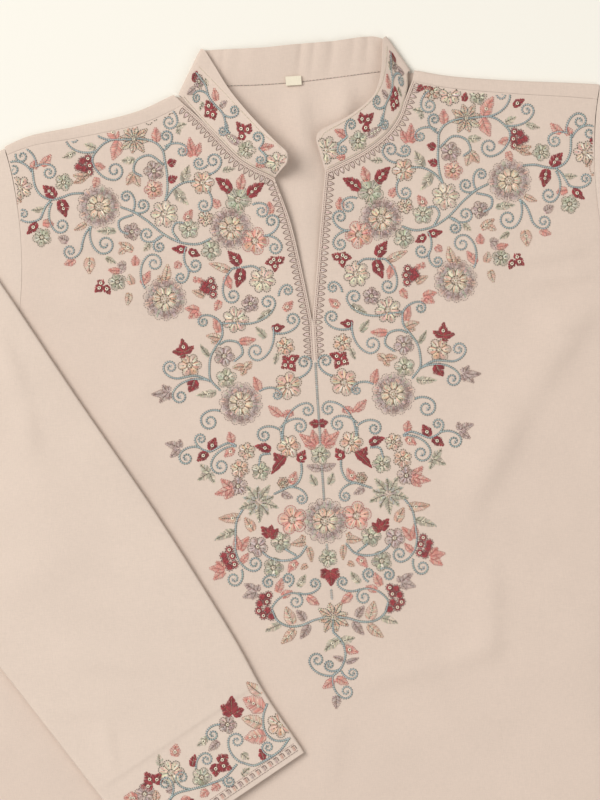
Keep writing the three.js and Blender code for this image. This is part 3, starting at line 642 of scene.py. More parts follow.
def armhole_curve(side):
    tip = side["shoulder"][-1]
    return Curve([(side["sign"] * (tip[0] + out), tip[1] - down) for out, down in ARMHOLE])


def shoulder_turn(side, share):
    """The back's turned edge over one shoulder, from the neck to the tip."""
    share = np.asarray(share, float)
    curve = shoulder_curve(side)
    along = curve.along(share)
    square = np.stack([-along[..., 1], along[..., 0], 0 * share], -1) * side["sign"]
    lean = mix(np.array(side["neck_lean"]), square, smooth(share * 6)[..., None])
    lean = mix(lean, np.array(side["tip_lean"]), smooth(share * 6 - 5)[..., None])
    return curve.at(share), unit(lean), mix(*side["turn"], share), mix(1.45, TUBE_HALF, share)


def turn_edge(side, share, gap):
    fold, out, width, half = shoulder_turn(side, share)
    edge = fold - out * (width + gap)[..., None]
    edge[..., 2] = TABLE_MID + 2 * half
    return edge


def side_seam(side):
    under = armhole_curve(side).at(1.0)
    seam = [(side["sign"] * x, y) for x, y in ((HEM_HALF, HEM_Y), HIP, WAIST)]
    return Curve([*seam, (under[0], under[1])])


def sampled(*stretches):
    """One edge of a half panel, from stretches of (curve, from, to, rows)."""
    parts = [
        curve.at(mix(start, end, np.linspace(0, 1, rows + 1)[min(i, 1) :]))
        for i, (curve, start, end, rows) in enumerate(stretches)
    ]
    return np.vstack(parts)


def front_half(side, band, fine=7, columns=56):
    """Grid of points of half the front, from the hem up and from the centre out."""
    sign = side["sign"]
    slit = [(sign * x, y, z) for x, y, z in side["slit"]]
    neckline = [neckline_point(row) for row in band[:-1]]
    neckline.append(turn_edge(side, np.array([0.0]), 2 * SEAM_GAP)[0])
    slit[-1] = neckline[0]
    low = Curve([(0, HEM_Y, FRONT_MID), (0, CHEST_Y, FRONT_MID)])
    chest = Curve([(0, CHEST_Y, FRONT_MID), (0, 0, FRONT_MID)])
    inner = sampled(
        (low, 0, 1, 4 * fine),
        (chest, 0, 1, 11 * fine),
        (Curve(slit), 0, 1, 4 * fine),
        (Curve(neckline), 0, 1, 8 * fine),
    )
    seam = side_seam(side)
    outer = sampled(
        (seam, 0, SEAM_SPLIT, 4 * fine),
        (seam, SEAM_SPLIT, 1, 10 * fine),
        (armhole_curve(side), 1, 0, 13 * fine),
    )
    count = len(inner)
    share = np.linspace(0, 1, columns + 1)
    grid = mix(inner[:, None], outer[:, None], share[None, :, None])
    edge = turn_edge(side, share, 2 * SEAM_GAP)
    near_top = smooth(1 - (count - 1 - np.arange(count)) / (4 * fine))[:, None]
    grid += (edge - grid[-1])[None] * near_top[..., None] * (1, 1, 0)
    start = inner[:, None]
    from_edge = np.hypot(*(grid - start)[..., :2].transpose(2, 0, 1))
    lip = (start[..., 2] - FRONT_MID) * (1 - smooth(from_edge / LIP_REACH))
    rise = (edge[None, :, 2] - FRONT_MID) * near_top
    x, y = grid[..., 0], grid[..., 1]
    folds = fold_height(FRONT_FOLDS, x, y)
    worked = smooth((y - WORKED_FROM_Y) / 60) * smooth(from_edge / 12)
    folds = folds + PUCKER * worked * (1 + uneven(x, y, 13, 3))
    held = np.where(start[..., 2] > FRONT_MID, smooth(share[None] * 4), 1)
    held = held * (1 - near_top)
    grid[..., 2] = FRONT_MID + np.maximum(np.maximum(lip, rise), 0) + folds * held
    grid[-1] = edge
    return grid


def front_panel():
    layer = Layer()
    layer.lines(front_half(SIDES["right"], BAND_RIGHT[::-1]))
    layer.lines(front_half(SIDES["left"], BAND_LEFT), turned=True)
    return layer.wall(CLOTH)


def back_panel(fine=4, columns=28):
    layer = Layer()
    left, right = SIDES["left"], SIDES["right"]
    rows = [TURNS[0][-1], *BAND_BACK, TURNS[1][-1]]
    ends = [shoulder_curve(side).at(0.0) for side in (left, right)]
    neckline = Curve([ends[0], *[neckline_point(row) for row in rows], ends[1]])
    neckline = neckline.at(np.linspace(0, 1, 61))
    lines = []
    for side in (left, right):
        x, y = side["sign"] * side["shoulder"][0][0], side["shoulder"][0][1]
        low, high = Curve([(x * 1.3, HEM_Y), (x, UNDER_Y)]), Curve([(x, UNDER_Y), (x, y)])
        lines.append(sampled((low, 0, 1, 6 * fine), (high, 0, 1, 12 * fine)))
    share = (neckline[:, 0] - neckline[0, 0]) / (neckline[-1, 0] - neckline[0, 0])
    inside = mix(lines[0][:, None], lines[1][:, None], share[None, :, None])
    inside[-1] = neckline
    x, y = inside[..., 0], inside[..., 1]
    near_neck = smooth((neckline[None, :, 1] - y) / 8)
    inside[..., 2] = TABLE_MID + fold_height(BACK_FOLDS, x, y) * near_neck
    layer.lines(inside)
    across = np.linspace(0, 1, columns + 1)
    for side, line in ((left, lines[0]), (right, lines[1])):
        outer = sampled((side_seam(side), 0, 1, 6 * fine), (armhole_curve(side), 1, 0, 12 * fine))
        outside = mix(line[:, None], outer[:, None], across[None, :, None])
        outside[-1] = shoulder_curve(side).at(across)
        outside[..., 2] = TABLE_MID
        fold, out, _, half = shoulder_turn(side, across)
        turned = []
        for degrees in range(0, 181, 20):
            angle = radians(degrees)
            row = fold + out * (half * sin(angle))[:, None]
            row[:, 2] = TABLE_MID + half * (1 - cos(angle))
            turned.append(row)
        edge = turn_edge(side, across, 0)
        flap = [mix(turned[-1], edge, t) for t in (0.34, 0.67, 1)]
        layer.lines(outside, side["sign"] < 0)
        layer.lines(np.array([*turned, *flap]), side["sign"] < 0)
    return layer.wall(CLOTH)


def sleeve_rings(rings, points):
    """Rings of a flattened sleeve. Both edges are turned squarely to their own run."""
    shares = np.linspace(0, 1, points + 1)
    tips = np.array([[line(0.0), line(1.0)] for line, *_ in rings])
    made = []
    for i, (line, normal, front_puff, back_puff) in enumerate(rings):
        outs = []
        for end in (0, 1):
            before, after = tips[max(i - 1, 0), end], tips[min(i + 1, len(tips) - 1), end]
            out = unit(np.cross(after - before, normal))
            outs.append(-out if out @ (tips[i, end] - tips[i, 1 - end]) < 0 else out)
        middle = line(shares)
        middle[0] = tips[i, 0] - outs[0] * TUBE_HALF
        middle[-1] = tips[i, 1] - outs[1] * TUBE_HALF
        faces = [
            middle + normal * (way * (TUBE_HALF + puff(shares, middle)))[:, None]
            for way, puff in ((1, front_puff), (-1, back_puff))
        ]
        edges = []
        for end in (0, 1):
            angles = np.radians([67.5, 45, 22.5, 0, -22.5, -45, -67.5])[:, None]
            edges.append(
                tips[i, end]
                + outs[end] * TUBE_HALF * (np.cos(angles) - 1)
                + normal * TUBE_HALF * np.sin(angles)
            )
        ring = [faces[0], edges[1], faces[1][::-1], edges[0][::-1], faces[0][:1]]
        made.append(np.vstack(ring))
    return np.array(made)


def stations(count, facing_start):
    """Where a sleeve's rings stand, closer together at the start of the facing."""
    even = np.linspace(0, 1, count + 1)
    return np.sort(np.concatenate([even, facing_start + np.array(FACING_RINGS)]))


def line_between(start, end):
    return lambda share: mix(start, end, np.asarray(share)[..., None])


def flat(share, _at):
    return 0.0 * share


def armhole_line(side):
    """The armhole end of a sleeve, moved clear of the panels."""
    curve = armhole_curve(side)

    def line(share):
        share = np.asarray(share, float)
        along = curve.along(share)
        out = np.stack([-along[..., 1], along[..., 0], 0 * share], -1) * side["sign"]
        clear = SEAM_GAP + 0.05 + 0.4 * np.abs(2 * share - 1) ** 8
        point = curve.at(share) + out * clear[..., None]
        point[..., 2] = TABLE_MID + TUBE_HALF
        return point

    return line


def puffed(folds, fullness, pressed):
    """Height of a sleeve's face over the flat tube: its fullness, folds and pressed facing."""

    def puff(share, at):
        full = fullness * np.sin(pi * np.clip(share, 0, 1)) ** 0.7
        facing = FACING_DIP * smooth(pressed(at) / 3) * smooth(np.sin(pi * share) * 3)
        return full + fold_height(folds, at[..., 0], at[..., 1]) - facing

    return puff


UP = np.array([0.0, 0.0, 1.0])


def left_sleeve(ring_count=88, points=44):
    layer = Layer()
    armhole = armhole_line(SIDES["left"])
    low = TABLE_MID + TUBE_HALF
    fold_top, fold_under = (np.array([*p, low], float) for p in LEFT_FOLD)
    fold_line = line_between(fold_top, fold_under)
    rings = []
    for share in np.linspace(0, 1, 9)[:-1]:
        line = lambda w, s=share: mix(armhole(w), fold_line(w), s)
        rings.append((line, UP, flat, flat))
    out = -unit(np.cross(fold_top - fold_under, UP))
    for degrees in range(0, 181, 15):
        angle = radians(degrees)
        shift = out * FOLD_HALF * sin(angle) + UP * FOLD_HALF * (1 - cos(angle))
        line = lambda w, s=shift: fold_line(w) + s
        rings.append((line, UP * cos(angle) - out * sin(angle), flat, flat))
    high = low + 2 * FOLD_HALF
    top_edge = Curve([(x, y, high) for x, y in LEFT_TOP_EDGE])
    under_edge = Curve([(x, y, high) for x, y in LEFT_UNDER_EDGE])
    corner, far = (np.array([*edge[-1], high]) for edge in (LEFT_TOP_EDGE, LEFT_UNDER_EDGE))
    inward = -square_to(unit(far - corner)[:2])
    pressed = lambda at: FACING - (at[..., :2] - corner[:2]) @ inward
    for t in stations(ring_count, LEFT_FACING_START)[1:]:
        puff = puffed(LEFT_SLEEVE_FOLDS, FULLNESS * smooth(t * 4), pressed)
        rings.append((line_between(top_edge.at(t), under_edge.at(t)), -UP, flat, puff))
    layer.lines(sleeve_rings(rings, points))
    return layer.wall(CLOTH)


def right_sleeve(ring_count=80, points=40):
    layer = Layer()
    armhole = armhole_line(SIDES["right"])
    slope = radians(RIGHT_SLOPE)
    along = np.array([cos(slope), -sin(slope), 0])
    across = np.array([-sin(slope), -cos(slope), 0])
    cuff_top = armhole(0.0) + along * RIGHT_TOP_LENGTH
    cuff = line_between(cuff_top, cuff_top + across * CUFF_WIDTH)
    rings = []
    facing_start = 1 - FACING / RIGHT_TOP_LENGTH
    for t in stations(ring_count, facing_start):
        line = lambda w, s=t: mix(armhole(w), cuff(w), s)
        pressed = lambda _at, s=t: (s - facing_start) * RIGHT_TOP_LENGTH
        puff = puffed(RIGHT_SLEEVE_FOLDS, FULLNESS * smooth(t * 5), pressed)
        rings.append((line, UP, puff, flat))
    layer.lines(sleeve_rings(rings, points), turned=True)
    return layer.wall(CLOTH)


def band_rows(fine=4, columns=8):
    """Sections of the band, from the left front to the right front, as a grid of points."""
    last, back = len(BAND_ROWS) - 1, (12, 18)
    cuts = np.array([0, 0.04, 0.12, 0.25, 0.45, 0.7, 1]) * BAND_CORNER
    ends = [
        np.linalg.norm(BAND_SEAM.at(abs(end - 1 / last)) - BAND_SEAM.at(end)) for end in (0.0, 1.0)
    ]
    near, far = cuts / ends[0] / last, 1 - cuts[::-1] / ends[1] / last
    even = [
        np.linspace(start / last, end / last, rows * fine, endpoint=False)
        for start, end, rows in (
            (0, back[0], 24), (back[0], back[1], 36), (back[1], last, 2 * last - 36)
        )
    ]
    even = np.concatenate(even)
    between = even[(even > near[-1] + 0.004) & (even < far[0] - 0.004)]
    t = np.concatenate([near, between, far])
    seam, top = BAND_SEAM.at(t), BAND_TOP.at(t)
    from_end = np.minimum(t * ends[0], (1 - t) * ends[1]) * last
    missing = np.maximum(BAND_CORNER - from_end, 0)
    cut = BAND_CORNER - np.sqrt(np.maximum(BAND_CORNER**2 - missing**2, 0))
    reach = np.linalg.norm(top - seam, axis=1)
    back_share = np.clip((t * last - back[0]) / (back[1] - back[0]), 0, 1)
    count, height = BAND_RIPPLES
    wave = height * np.sin(pi * back_share) ** 2 * (1 + np.cos(2 * pi * count * back_share))
    v = np.linspace(0, 1, columns + 1)
    grid = mix(seam[:, None], top[:, None], (v * ((reach - cut) / reach)[:, None])[..., None])
    at_back = smooth(back_share * 8) * smooth((1 - back_share) * 8)
    grid[..., 2] += (wave * 0.8 + at_back * 0.9)[:, None] * v[None]
    for x, width, depth in BAND_FOLDS:
        trough = np.exp(-(((grid[..., 0] - x - 5 * (v - 1)) / width) ** 2)) * v**0.6
        grid[..., 2] -= np.minimum(depth * trough * at_back[:, None], grid[..., 2] - 0.85)
    return grid


def collar_band():
    layer = Layer()
    layer.lines(band_rows())
    return layer.wall(BAND)


# ---------------------------------------------------------------- pieces

SHARP_ANGLE = 35


def set_out(name, mesh, material):
    """Put a finished mesh in the scene as a piece that rides on the root."""
    mesh.materials.append(material)
    piece = bpy.data.objects.new(name, mesh)
    bpy.context.scene.collection.objects.link(piece)
    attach(piece, "root")
    return piece


def add_cloth(name, node, shape, material, flat_size):
    """A cut piece of cloth that takes the place of a node of the frame."""
    points, faces = shape
    mesh = bpy.data.meshes.new(name)
    mesh.from_pydata(placed(points).tolist(), [], faces)
    mesh.update()
    mesh.polygons.foreach_set("use_smooth", [True] * len(mesh.polygons))
    mesh.set_sharp_from_angle(angle=radians(SHARP_ANGLE))
    piece = set_out(name, mesh, material)
    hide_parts(node)


# ---------------------------------------------------------------- grounds


class Ground:
    """Surface that threads lie on: its places over an even grid of plane coordinates."""

    def __init__(self, low, step, places, shown, facing=1):
        self.low, self.step = np.array(low, float), step
        self.places, self.shown = places, shown.astype(float)
        across_a, across_b = np.gradient(places, axis=0), np.gradient(places, axis=1)
        self.normals = unit(np.cross(across_a, across_b)) * facing

    def at(self, plane):
        """Place, normal and how far it is shown, for each point of the plane."""
        share = (plane - self.low) / self.step
        most = np.array(self.shown.shape) - 1.001
        inside = np.all((share >= 0) & (share <= most), axis=-1)
        share = np.clip(share, 0, most)
        i, j = np.floor(share).astype(int).transpose(-1, *range(share.ndim - 1))
        a, b = (share - np.floor(share)).transpose(-1, *range(share.ndim - 1))
        values = []
        for grid in (self.places, self.normals, self.shown):
            wa, wb = (a[..., None], b[..., None]) if grid.ndim == 3 else (a, b)
            low = mix(grid[i, j], grid[i + 1, j], wa)
            high = mix(grid[i, j + 1], grid[i + 1, j + 1], wa)
            values.append(mix(low, high, wb))
        return values[0], unit(values[1]), values[2] * inside


RAY_START = 60.0


def world_tree(piece):
    points = np.empty(len(piece.data.vertices) * 3)
    piece.data.vertices.foreach_get("co", points)
    points = points.reshape(-1, 3) / MM - ORIGIN
    faces = [tuple(p.vertices) for p in piece.data.polygons]
    return BVHTree.FromPolygons(points.tolist(), faces)


def seen_from_above(piece, others, low, high, step, corner=(0, 0), along=(1, 0), across=(0, 1)):
    """Ground on the part of a piece that none of the others covers."""
    tree, covers = world_tree(piece), [world_tree(other) for other in others]
    a, b = (np.arange(start, end + step, step) for start, end in zip(low, high))
    corner, along, across = (np.array(v, float) for v in (corner, along, across))
    flat_places = corner + a[:, None, None] * along + b[None, :, None] * across
    heights = np.full(flat_places.shape[:2], np.nan)
    shown = np.zeros(heights.shape, bool)
    down = Vector((0, 0, -1))
    for i, row in enumerate(flat_places.tolist()):
        for j, (x, y) in enumerate(row):
            start = Vector((x, y, RAY_START))
            place, _, _, drop = tree.ray_cast(start, down)
            if place is None:
                continue
            heights[i, j] = place.z
            hits = (cover.ray_cast(start, down)[3] for cover in covers)
            shown[i, j] = all(hit is None or hit > drop for hit in hits)
    for _ in range(3):
        near = [np.roll(heights, turn, axis) for axis in (0, 1) for turn in (1, -1)]
        empty = np.isnan(heights)
        known = np.sum(~np.isnan(near), axis=0)
        filled = empty & (known > 0)
        heights[filled] = (np.nansum(near, axis=0) / np.maximum(known, 1))[filled]
    heights = np.nan_to_num(heights, nan=FRONT_MID)
    places = np.concatenate([flat_places, heights[..., None]], -1)
    facing = np.sign(along[0] * across[1] - along[1] * across[0])
    return Ground(low, step, places, shown, facing)


def band_ground(left):
    """Ground on the collar's outer face at one front: distance from its end, then from the seam."""
    t = np.linspace(0, 1, 800)[:: 1 if left else -1]
    middle = mix(BAND_SEAM.at(t), BAND_TOP.at(t), 0.5)
    length = np.concatenate([[0], np.cumsum(np.linalg.norm(np.diff(middle, axis=0), axis=1))])
    step, reach, width = 0.5, 94.0, 26.0
    a, b = np.arange(0, reach + step, step), np.arange(0, width + step, step)
    t_at = np.interp(a, length, t)
    seam, top = BAND_SEAM.at(t_at), BAND_TOP.at(t_at)
    corner = BAND_CORNER - np.sqrt(BAND_CORNER**2 - np.maximum(BAND_CORNER - a, 0) ** 2)
    height = (np.linalg.norm(top - seam, axis=1) - corner)[:, None]
    grid = seam[:, None] + unit(top - seam)[:, None] * b[None, :, None]
    shown = (b[None] > 0.4) & (b[None] < height - 0.4) & (a[:, None] > 0.9)
    ground = Ground((0, 0), step, grid, shown, -1 if left else 1)
    ground.places = ground.places + ground.normals * BAND / 2
    return ground


# ---------------------------------------------------------------- needlework

# One stitch: a closed grain with two tips and two sections of left, ridge and right
GRAIN_ALONG = np.array([-1, -0.62, -0.62, -0.62, 0.62, 0.62, 0.62, 1])
GRAIN_ACROSS = np.array([0, 1, 0, -1, 1, 0, -1, 0])
GRAIN_UP = np.array([0.2, 0, 1, 0, 0, 1, 0, 0.2])
GRAIN_FACES = [
    (0, 2, 1), (0, 3, 2), (0, 1, 3), (7, 4, 5), (7, 5, 6), (7, 6, 4),
    (1, 2, 5, 4), (2, 3, 6, 5), (3, 1, 4, 6),
]
GRAIN_CHART = [
    (0, 0.5, 0.2, 1, 0.2, 0), (0, 1.5, 0.2, 2, 0.2, 1), (0, 2.5, 0.2, 3, 0.2, 2),
    (1, 0.5, 0.8, 0, 0.8, 1), (1, 1.5, 0.8, 1, 0.8, 2), (1, 2.5, 0.8, 2, 0.8, 3),
    (0.2, 0, 0.2, 1, 0.8, 1, 0.8, 0), (0.2, 1, 0.2, 2, 0.8, 2, 0.8, 1),
    (0.2, 2, 0.2, 3, 0.8, 3, 0.8, 2),
]
SEQUIN_SIDES = 8
# Radius and height of each ring of a sequin, and how far it lies off the cloth
SEQUIN_RINGS = [(1.0, 0.0), (1.0, 0.16), (0.5, 0.30), (0.5, 0.14)]
SEQUIN_LIFT = 0.75
STITCH_SINK = 0.06
# A stitch is laid where its ground is seen at least this much
SEEN = 0.98


def many_pieces(name, points, faces, chart, tints, material):
    """One object of many equal closed grains. points is (grain, corner, 3)."""
    count, corners = points.shape[:2]
    starts = (np.arange(count) * corners)[:, None]
    loops = np.concatenate([np.array(face) for face in faces])
    mesh = bpy.data.meshes.new(name)
    mesh.vertices.add(count * corners)
    mesh.vertices.foreach_set("co", placed(points.reshape(-1, 3)).ravel())
    mesh.loops.add(count * len(loops))
    mesh.loops.foreach_set("vertex_index", (starts + loops[None]).ravel())
    mesh.polygons.add(count * len(faces))
    totals = np.tile([len(face) for face in faces], count)
    mesh.polygons.foreach_set("loop_start", np.concatenate([[0], np.cumsum(totals)[:-1]]))
    mesh.polygons.foreach_set("loop_total", totals)
    mesh.polygons.foreach_set("use_smooth", np.ones(count * len(faces), bool))
    mesh.update(calc_edges=True)
    across = int(np.ceil(count**0.5))
    cell = np.stack([np.arange(count) % across, np.arange(count) // across], -1)
    uv = (cell[:, None] + 0.08 + 0.84 * chart[None]) / across
    mesh.uv_layers.new(name="OFBake").data.foreach_set("uv", uv.ravel())
    thread = mesh.color_attributes.new(name="thread", type="FLOAT_COLOR", domain="POINT")
    shown = np.concatenate([tints, np.ones((count, 1))], axis=1)
    thread.data.foreach_set("color", np.repeat(shown, corners, axis=0).ravel())
    set_out(name, mesh, material)


def rotated(vectors, angle):
    c, s = np.cos(angle), np.sin(angle)
    x, y = vectors[..., 0], vectors[..., 1]
    return np.stack([x * c - y * s, x * s + y * c], -1)


def heading(angle):
    return np.stack([np.cos(angle), np.sin(angle)], -1)


def spaced(path, pitch):
    """Places along a path at an even pitch, with the way the path runs there."""
    path = np.asarray(path, float)
    lengths = np.linalg.norm(np.diff(path, axis=0), axis=1)
    total = np.concatenate([[0], np.cumsum(lengths)])
    count = max(int(total[-1] / pitch), 2)
    at = (np.arange(count) + 0.5) / count * total[-1]
    places, ahead, behind = (
        np.stack([np.interp(at + shift, total, path[:, k]) for k in (0, 1)], -1)
        for shift in (0, 0.3, -0.3)
    )
    return places, unit(ahead - behind)


def square_to(along):
    return np.stack([-along[..., 1], along[..., 0]], -1)


def tones(names):
    """Colours of the threads that a line of text names."""
    return [getattr(threads(), name) for name in names.split()]


class Needlework:
    """Stitches and sequins drawn on a plane, to be laid on a ground."""

    def __init__(self, seed):
        self.random = np.random.default_rng(seed)
        self.stitches, self.sequins = [], []

    def stitch(self, starts, ends, width, height, tint, lift=0.0, vary=0.10):
        starts, ends = np.atleast_2d(starts), np.atleast_2d(ends)
        count = len(starts)
        columns = [np.broadcast_to(v, count)[:, None] for v in (width, height, lift)]
        tint = np.broadcast_to(np.asarray(tint, float)[..., :3], (count, 3))
        tint = tint * (1 + self.random.normal(0, vary, (count, 1)))
        tint = tint * (1 + self.random.normal(0, vary / 3, (count, 3)))
        self.stitches.append(np.hstack([starts, ends, *columns, np.clip(tint, 0.004, 1)]))

    def sequin(self, places, radius):
        """Sewn sequins, each with a dark knot in its hole: the thread that holds it, made dark to
        paint the shade in the hole as well.
        """
        colour, reach = threads(), radius * 0.34
        for x, y in np.atleast_2d(places):
            self.sequins.append((x, y, radius, *colour.sequin[:3]))
            self.stitch((x - reach, y), (x + reach, y), radius * 0.62, 0.5, colour.olive, lift=0.5)

    def choice(self, tints, count):
        """One of the tints for each stitch."""
        return np.array([tint[:3] for tint in tints])[self.random.integers(0, len(tints), count)]

    def mirror(self):
        """Add the mirror image about the centre front of all that is drawn so far."""
        for rows in list(self.stitches):
            other = rows.copy()
            other[:, [0, 2]] *= -1
            other[:, 7:] *= 1 + self.random.normal(0, 0.05, (len(rows), 1))
            self.stitches.append(other)
        self.sequins += [(-x, *rest) for x, *rest in self.sequins]

    def lay(self, name, ground):
        """Put the work on its ground: one piece of stitches, one of sequins if it has any."""
        rows = np.vstack(self.stitches)
        start, end = rows[:, 0:2], rows[:, 2:4]
        kept = (ground.at(start)[2] > SEEN) & (ground.at(end)[2] > SEEN)
        rows, start, end = rows[kept], start[kept], end[kept]
        half = (end - start) / 2
        across = square_to(unit(half))
        width, height, lift = rows[:, 4:5], rows[:, 5:6], rows[:, 6:7]
        plane = ((start + end) / 2)[:, None] + half[:, None] * GRAIN_ALONG[None, :, None]
        plane = plane + across[:, None] * (width / 2 * GRAIN_ACROSS[None])[..., None]
        place, normal, _ = ground.at(plane)
        points = place + normal * (lift + height * GRAIN_UP[None] - STITCH_SINK)[..., None]
        chart = np.concatenate([np.array(row, float).reshape(-1, 2) for row in GRAIN_CHART])
        many_pieces(name, points, GRAIN_FACES, chart / (1, 3), rows[:, 7:10], thread_material())
        if self.sequins:
            self.lay_sequins(name + "_sequins", ground)

    def lay_sequins(self, name, ground):
        rows = np.array(self.sequins)
        rows = rows[ground.at(rows[:, :2])[2] > SEEN]
        angles = np.arange(SEQUIN_SIDES) * 2 * pi / SEQUIN_SIDES
        plane = np.concatenate([heading(angles) * share for share, _ in SEQUIN_RINGS])
        up = np.repeat([height for _, height in SEQUIN_RINGS], SEQUIN_SIDES)
        place, normal, _ = ground.at(rows[:, None, :2] + plane[None] * rows[:, None, 2:3])
        points = place + normal * (up[None] + SEQUIN_LIFT)[..., None]
        faces, chart = [], []
        for ring in range(4):
            for k in range(SEQUIN_SIDES):
                low, high = ring * SEQUIN_SIDES, (ring + 1) % 4 * SEQUIN_SIDES
                after = (k + 1) % SEQUIN_SIDES
                faces.append((low + k, low + after, high + after, high + k))
                for u, v in ((k, ring), (k + 1, ring), (k + 1, ring + 1), (k, ring + 1)):
                    chart.append((u / SEQUIN_SIDES, v / 4))
        many_pieces(name, points, faces, np.array(chart), rows[:, 3:6], sequin_material())

    # ---- stems and scrolls

    def rope(self, path, width, fade=0.0, outer=0):
        """Rope stitch: a pale core over dark cross stitches that show on both sides of it."""
        pitch = ROPE_PITCH
        places, along = spaced(path, pitch)
        square, count = square_to(along), len(places)
        narrow = (width * (1 - fade * np.linspace(0, 1, count)))[:, None]
        phase = self.random.uniform(0, 9)
        drift = uneven(np.arange(count) * pitch, np.full(count, phase), 14.0, 5)[:, None]
        pale, light, teal, shade = (
            np.array(tint[:3]) for tint in tones("pale teal_light teal teal_dark")
        )
        core, dark = mix(pale, light, 0.6 + 0.4 * drift), mix(teal, shade, 0.35 - 0.6 * drift)
        left, right = (square * narrow * (0.56 + 0.10 * way * outer) * way for way in (1, -1))
        lean = along * narrow * 0.12
        self.stitch(places + right - lean, places + left + lean, 0.66, 0.6, dark, vary=0.16)
        between, reach = places + along * pitch / 2, rotated(along, 0.3) * pitch * 0.6
        wide = (narrow * 0.52)[:, 0]
        self.stitch(between - reach, between + reach, wide, 0.55, core, lift=0.38, vary=0.07)

    def stem(self, points):
        self.rope(Curve(points).at(np.linspace(0, 1, 60))[:, :2], 2.1)

    def scroll(self, x, y, eye_x, eye_y, radius, hand):
        """A rope that leaves its stem in a bend and coils round its eye."""
        start, eye = np.array([x, y], float), np.array([eye_x, eye_y], float)
        away = start - eye
        distance = max(np.linalg.norm(away), radius * 1.05)
        reach = np.arccos(radius / distance)
        angle = np.arctan2(away[1], away[0]) + hand * (reach + radians(SCROLL_START))
        touch = eye + radius * heading(angle)
        leave = rotated(heading(angle), hand * pi / 2)
        chord = touch - start
        length = np.linalg.norm(chord)
        first = rotated(unit(chord), -hand * radians(SCROLL_BEND))
        t = np.linspace(0, 1, 24)[:, None]
        handles = start + first * length * 0.38, touch - leave * length * 0.34
        tail = (
            (1 - t) ** 3 * start
            + 3 * (1 - t) ** 2 * t * handles[0]
            + 3 * (1 - t) * t**2 * handles[1]
            + t**3 * touch
        )
        turn = np.linspace(0, 1, 44)[1:, None]
        way = heading(angle + hand * turn[:, 0] * radians(SCROLL_TURN))
        coil = eye + radius * (1 - 0.80 * turn**0.85) * way
        self.rope(np.vstack([tail, coil]), 2.0, fade=0.2, outer=-hand)
        self.stitch(eye - (0.5, 0), eye + (0.5, 0), 0.9, 0.8, threads().pale)

    def border(self, path, sign):
        """Neck border: a dotted line, a fine line and a row of loops on one side of a path."""
        colour = threads()
        edge, edge_along = spaced(path, 0.4)
        edge_out = square_to(edge_along) * -sign

        def inset(distance):
            moved = edge + edge_out * distance
            apart = np.linalg.norm(moved[:, None] - edge[None], axis=-1).min(axis=1)
            return moved[apart > distance * 0.985]

        self.dotted(inset(1.1), 1.5, 0.6, colour.mauve, share=0.8)
        self.dotted(inset(2.3), 2.2, 0.4, colour.mauve_dark, share=0.98)
        feet, along = spaced(inset(2.6), 4.0)
        out = square_to(along) * -sign
        up = np.array([0, 0.3, 0.62, 0.86, 1.0, 0.86, 0.62, 0.3, 0])
        wide = np.array([1.3, 1.5, 1.05, 0.5, 0, -0.5, -1.05, -1.5, -1.3])
        for foot, ahead, outward in zip(feet, along, out):
            arch = foot + outward * 4.5 * up[:, None] + ahead * wide[:, None]
            self.stitch(arch[:-1], arch[1:], 0.55, 0.5, colour.mauve_dark, lift=0.1)
            inner, outer = (foot + outward * reach for reach in (0.6, 3.4))
            self.stitch(inner, outer, 0.8, 0.4, colour.lilac, vary=0.2)
            self.stitch(foot - ahead * 0.7, foot + ahead * 0.7, 0.9, 0.5, colour.mauve_dark)

    def ladder(self, points):
        """Raised ladder: two side lines and close rungs."""
        colour = threads()
        path = Curve(points).at(np.linspace(0, 1, 60))[:, :2]
        places, along = spaced(path, 1.35)
        half = square_to(along) * LADDER_WIDTH / 2
        self.stitch(places - half, places + half, 0.8, 0.6, colour.pale, lift=0.15)
        between = places + along * 0.68
        self.stitch(between - half * 0.8, between + half * 0.8, 0.4, 0.3, colour.teal_light)
        for way in (-1, 1):
            self.dotted(places + half * way, 1.35, 0.35, colour.teal, lift=0.2, share=0.5)

    # ---- leaves

    def leaf(self, base, tip, width, thread, sequins=0):
        """Satin leaf: slanted stitches from the vein to the rim on each side."""
        names, vein, rim, fill, spread, waves = LEAF_THREADS[thread]
        tints = tones(names)
        base, tip = np.array(base, float), np.array(tip, float)
        length = np.linalg.norm(tip - base)
        way = unit(tip - base)
        square = square_to(way)
        pitch = LEAF_PITCH[fill > 0.9]
        count = max(int(length / pitch), 5)
        lobes = max(round(length / 6), 2)

        def half_width(t):
            outline = 2.54 * np.sqrt(t) * np.maximum(1 - t, 0) ** 0.95
            return width * spread / 2 * outline * (1 + waves * np.cos(2 * pi * lobes * t))

        bow = self.random.choice((-1, 1)) * self.random.uniform(0.05, 0.20) * length

        def spine(t):
            return base + way * (t * length)[:, None] + square * (bow * t * (t - 1))[:, None]

        t = (np.arange(count) + 0.5) / count
        slant = min(0.32 * width / length, 0.3)
        for side in (1, -1):
            start = spine(np.maximum(t - slant, 0.02))
            end = spine(t) + side * square * half_width(t)[:, None]
            end += self.random.normal(0, 0.14, end.shape)
            self.stitch(start, end, pitch * 1.25 * fill, 0.55, self.choice(tints, count))
            if rim:
                edge_t = np.linspace(0.03, 0.99, 24)
                line = spine(edge_t) + side * square * (half_width(edge_t) * 1.02)[:, None]
                self.dotted(line, 1.35, 0.55, tones(rim)[0], lift=0.2, share=0.62)
        middle = spine(np.linspace(0.04, 0.85, 12))
        self.dotted(middle, 1.3, 0.5, tones(vein)[0], lift=0.4, share=0.9)
        for k in range(sequins):
            share = 0.36 if sequins == 1 else 0.28 + 0.22 * k
            self.sequin(spine(np.array([share])), 1.25 if sequins == 1 else 1.05)

    def dotted(self, path, pitch, width, tint, lift=0.0, share=0.75, height=0.5):
        places, along = spaced(path, pitch)
        half = along * pitch * share / 2
        self.stitch(places - half, places + half, width, height, tint, lift=lift)

    # ---- flowers

